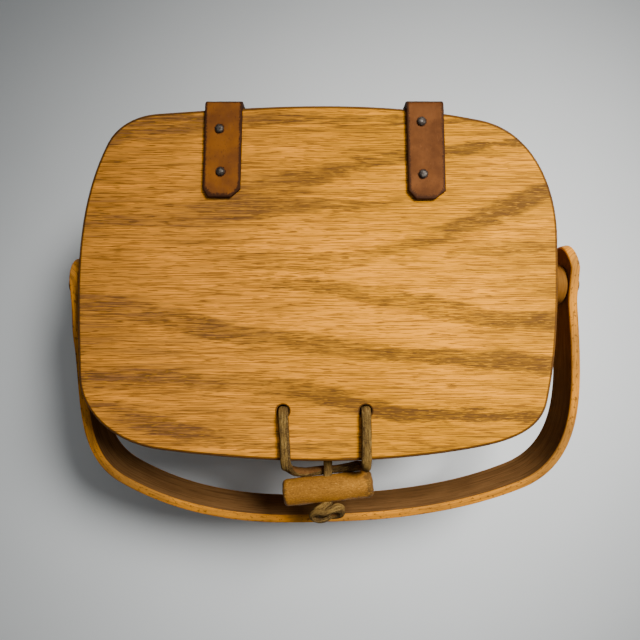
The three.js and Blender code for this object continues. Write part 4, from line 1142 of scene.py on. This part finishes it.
def make_hoops():
    outer = hoop(0, OUTER_HOOP_THICKNESS, HOOP_BOTTOM, RIM_TOP, OUTER_LAP_AT)
    place_piece("hoop_outer", outer, HOOPWOOD, "basket", "rim_hoop_outer")
    inner = hoop(INNER_HOOP_FACE, INNER_HOOP_THICKNESS, INNER_HOOP_BOTTOM, RIM_TOP, INNER_LAP_AT)
    place_piece("hoop_inner", inner, HOOPWOOD, "basket", "rim_hoop_inner")

    # The reed between them
    count = 300
    loop = rim_outline(count)
    path = inset_rings(loop, [(WALL_FACE + WALL_THICKNESS / 2, RIM_TOP - FILLER_RADIUS)])[:, 0]
    section, around = rounded_section(2 * FILLER_RADIUS, 2 * FILLER_RADIUS, FILLER_RADIUS * 0.98, 4)
    out = np.hstack((normals_of(loop), np.zeros((count, 1))))
    across = np.tile((0.0, 0.0, 1.0), (count, 1))
    along = np.arange(count + 1) * lengths_along(path)[-1] / (count - 1)
    reed = Shape()
    reed.grid(swept(path, across, out, section), along, around, wrap_along=True, wrap_across=True)
    place_piece("rim_reed", reed, SPLINT, "basket", "rim_filler")


def wall_frame(loop, out, z):
    """Middle of the wall, its way out and its way up, at each station for a height."""
    slope = float(wall_inset(z - 0.5) - wall_inset(z + 0.5))
    level = np.ones((len(loop), 1))
    return (np.hstack((loop - out * (wall_inset(z) + WALL_THICKNESS / 2), level * z)),
            unit(np.hstack((out, level * -slope))), unit(np.hstack((out * slope, level))))


def make_weavers(rng, loop, out):
    phase = np.arange(len(loop)) * math.pi / STEPS_PER_STAKE
    along = lengths_round(loop)
    weavers = Shape(merge=WEAVE_MERGE)
    for row in range(int((WALL_TOP - FIRST_ROW) / ROW_PITCH) + 1):
        z = FIRST_ROW + row * ROW_PITCH + rng.uniform(-0.15, 0.15)
        width = min(WEAVER_WIDTH, 2 * (WALL_TOP - z)) * rng.uniform(0.96, 1.02)
        section, around = rounded_section(width, WEAVER_THICKNESS, WEAVER_ROUNDING, 2)
        centre, outward, upward = wall_frame(loop, out, z)
        swing = WEAVER_SWING * np.cos(phase + math.pi * row)
        lift = np.array([noise.noise(Vector((a * 0.02, row * 3.3, 0))) for a in along[:-1]]) * 0.35
        centre = centre + outward * swing[:, None] + upward * lift[:, None]
        weavers.grid(swept(centre, upward, outward, section), along + rng.uniform(0, 900),
                     around + row * 40, wrap_along=True, wrap_across=True)

    # A plain band outside the stakes at the foot, which the lower nails hold
    section, around = rounded_section(FOOT_BAND_HEIGHT, FOOT_BAND_THICKNESS, WEAVER_ROUNDING, 2)
    centre, outward, upward = wall_frame(loop, out, WALL_BOTTOM + FOOT_BAND_HEIGHT / 2)
    weavers.grid(swept(centre + outward * FOOT_BAND_OUT, upward, outward, section), along, around + 900,
                 wrap_along=True, wrap_across=True)
    place_piece("weavers", weavers, SPLINT, "basket", "woven_wall", sharp=60)


def make_stakes(rng, loop, out):
    levels = np.linspace(WALL_BOTTOM, WALL_TOP, 90)
    section, around = rounded_section(STAKE_WIDTH, STAKE_THICKNESS, STAKE_ROUNDING, 2)
    stakes = Shape(merge=WEAVE_MERGE)
    for k in range(STAKES):
        here = slice(k * STEPS_PER_STAKE, k * STEPS_PER_STAKE + 1)
        frames = [wall_frame(loop[here], out[here], z) for z in levels]
        centre, outward, upward = (np.array([part[0] for part in parts]) for parts in zip(*frames))
        across = np.cross(upward, outward)
        inside = -STAKE_SWING * np.cos(math.pi * k + math.pi * (levels - FIRST_ROW) / ROW_PITCH)
        inside = np.where(levels < FIRST_ROW - ROW_PITCH / 2, -0.2, inside)
        lean = rng.uniform(-0.4, 0.4) * (levels - WALL_BOTTOM) / WALL_TOP
        centre = centre + outward * inside[:, None] + across * lean[:, None]
        taper = np.interp(levels, (WALL_BOTTOM, HOOP_BOTTOM), (STAKE_FOOT_TAPER, 1.0))
        taper = taper * rng.uniform(0.95, 1.03)
        points = swept(centre, across, outward, section, taper, thick=1.0)
        stakes.grid(points, levels + rng.uniform(0, 900), around + k * 30, wrap_across=True)
        for ring in (points[0], points[-1]):
            stakes.cap(ring, section)
    place_piece("stakes", stakes, STAKE, "basket", sharp=60)


def make_wall():
    rng = random.Random(12)
    loop = rim_outline(STAKES * STEPS_PER_STAKE)
    make_weavers(rng, loop, normals_of(loop))
    make_stakes(rng, loop, normals_of(loop))


def make_base():
    loop = rim_outline(300)
    lip, e, top = float(wall_inset(WALL_BOTTOM)), BASE_EDGE, BASE_TOP

    def plug(z):
        return float(wall_inset(z)) + WALL_THICKNESS + GAP

    step, inset = BASE_LIP_HEIGHT, plug(top)
    profile = [(lip + e + 3, 0)] + arc((lip + e, e), e, 270, 180, 5) + [
        (lip, step - 0.4), (lip + 0.4, step), (plug(step), step), (plug(top - 1), top - 1),
        (inset + 0.3, top - 0.3), (inset + 1, top), (inset + 4, top)]
    points = inset_rings(loop, profile)
    base = Shape()
    base.grid(points, lengths_round(loop), lengths_along(profile), wrap_along=True)
    for ring in (points[:, 0], points[:, -1]):
        base.cap(ring, ring[:, :2])
    place_piece("base", base, OAK_BASE, "basket", "base_board")


# Stage

def add_light(name, kind, place, target, power, tint, **settings):
    data = bpy.data.lights.new(name, kind)
    data.energy = power
    data.color = tint
    for key, value in settings.items():
        setattr(data, key, value)
    light = add_object(name, data)
    light.location = place
    light.rotation_euler = (Vector(target) - Vector(place)).to_track_quat("-Z", "Y").to_euler()


def add_stage():
    mesh = bpy.data.meshes.new("floor")
    far = FLOOR_HALF_METRES
    mesh.from_pydata([(-far, -far, 0), (far, -far, 0), (far, far, 0), (-far, far, 0)], [], [(0, 1, 2, 3)])
    mesh.materials.append(floor_material())
    add_object("floor", mesh)
    middle = (0.0, 0.0, 0.0)
    add_light("key", "SPOT", (0.37, 0.25, 0.7), (0.06, -0.075, 0.0), 56.0, (1.0, 0.985, 0.96),
              spot_size=math.radians(47), spot_blend=1.0, shadow_soft_size=0.18)
    add_light("rear", "AREA", (0.0, 0.6, 0.7), middle, 0.75, (0.97, 0.99, 1.0), size=0.5)
    add_light("fill", "AREA", (0.0, -0.1, 1.0), middle, 0.8, (0.97, 0.99, 1.0), size=0.8)
    world = bpy.data.worlds.new("studio")
    world.use_nodes = True
    background = world.node_tree.nodes["Background"]
    background.inputs["Color"].default_value = (0.92, 0.96, 1.0, 1)
    background.inputs["Strength"].default_value = 0.05
    bpy.context.scene.world = world


add_camera()
make_loop_lace()
make_toggle_lace()
make_lid()
seats = make_nails()
for side, sign, first in (("left", -1, 1), ("right", 1, 3)):
    nails = [f"{kind}_nail_{k}" for kind in ("lid", "strap") for k in (first, first + 1)]
    make_strap(side, sign, [seats[nail] for nail in nails])
make_handle()
make_pivots()
make_peg()
make_hoops()
make_wall()
make_base()
add_stage()
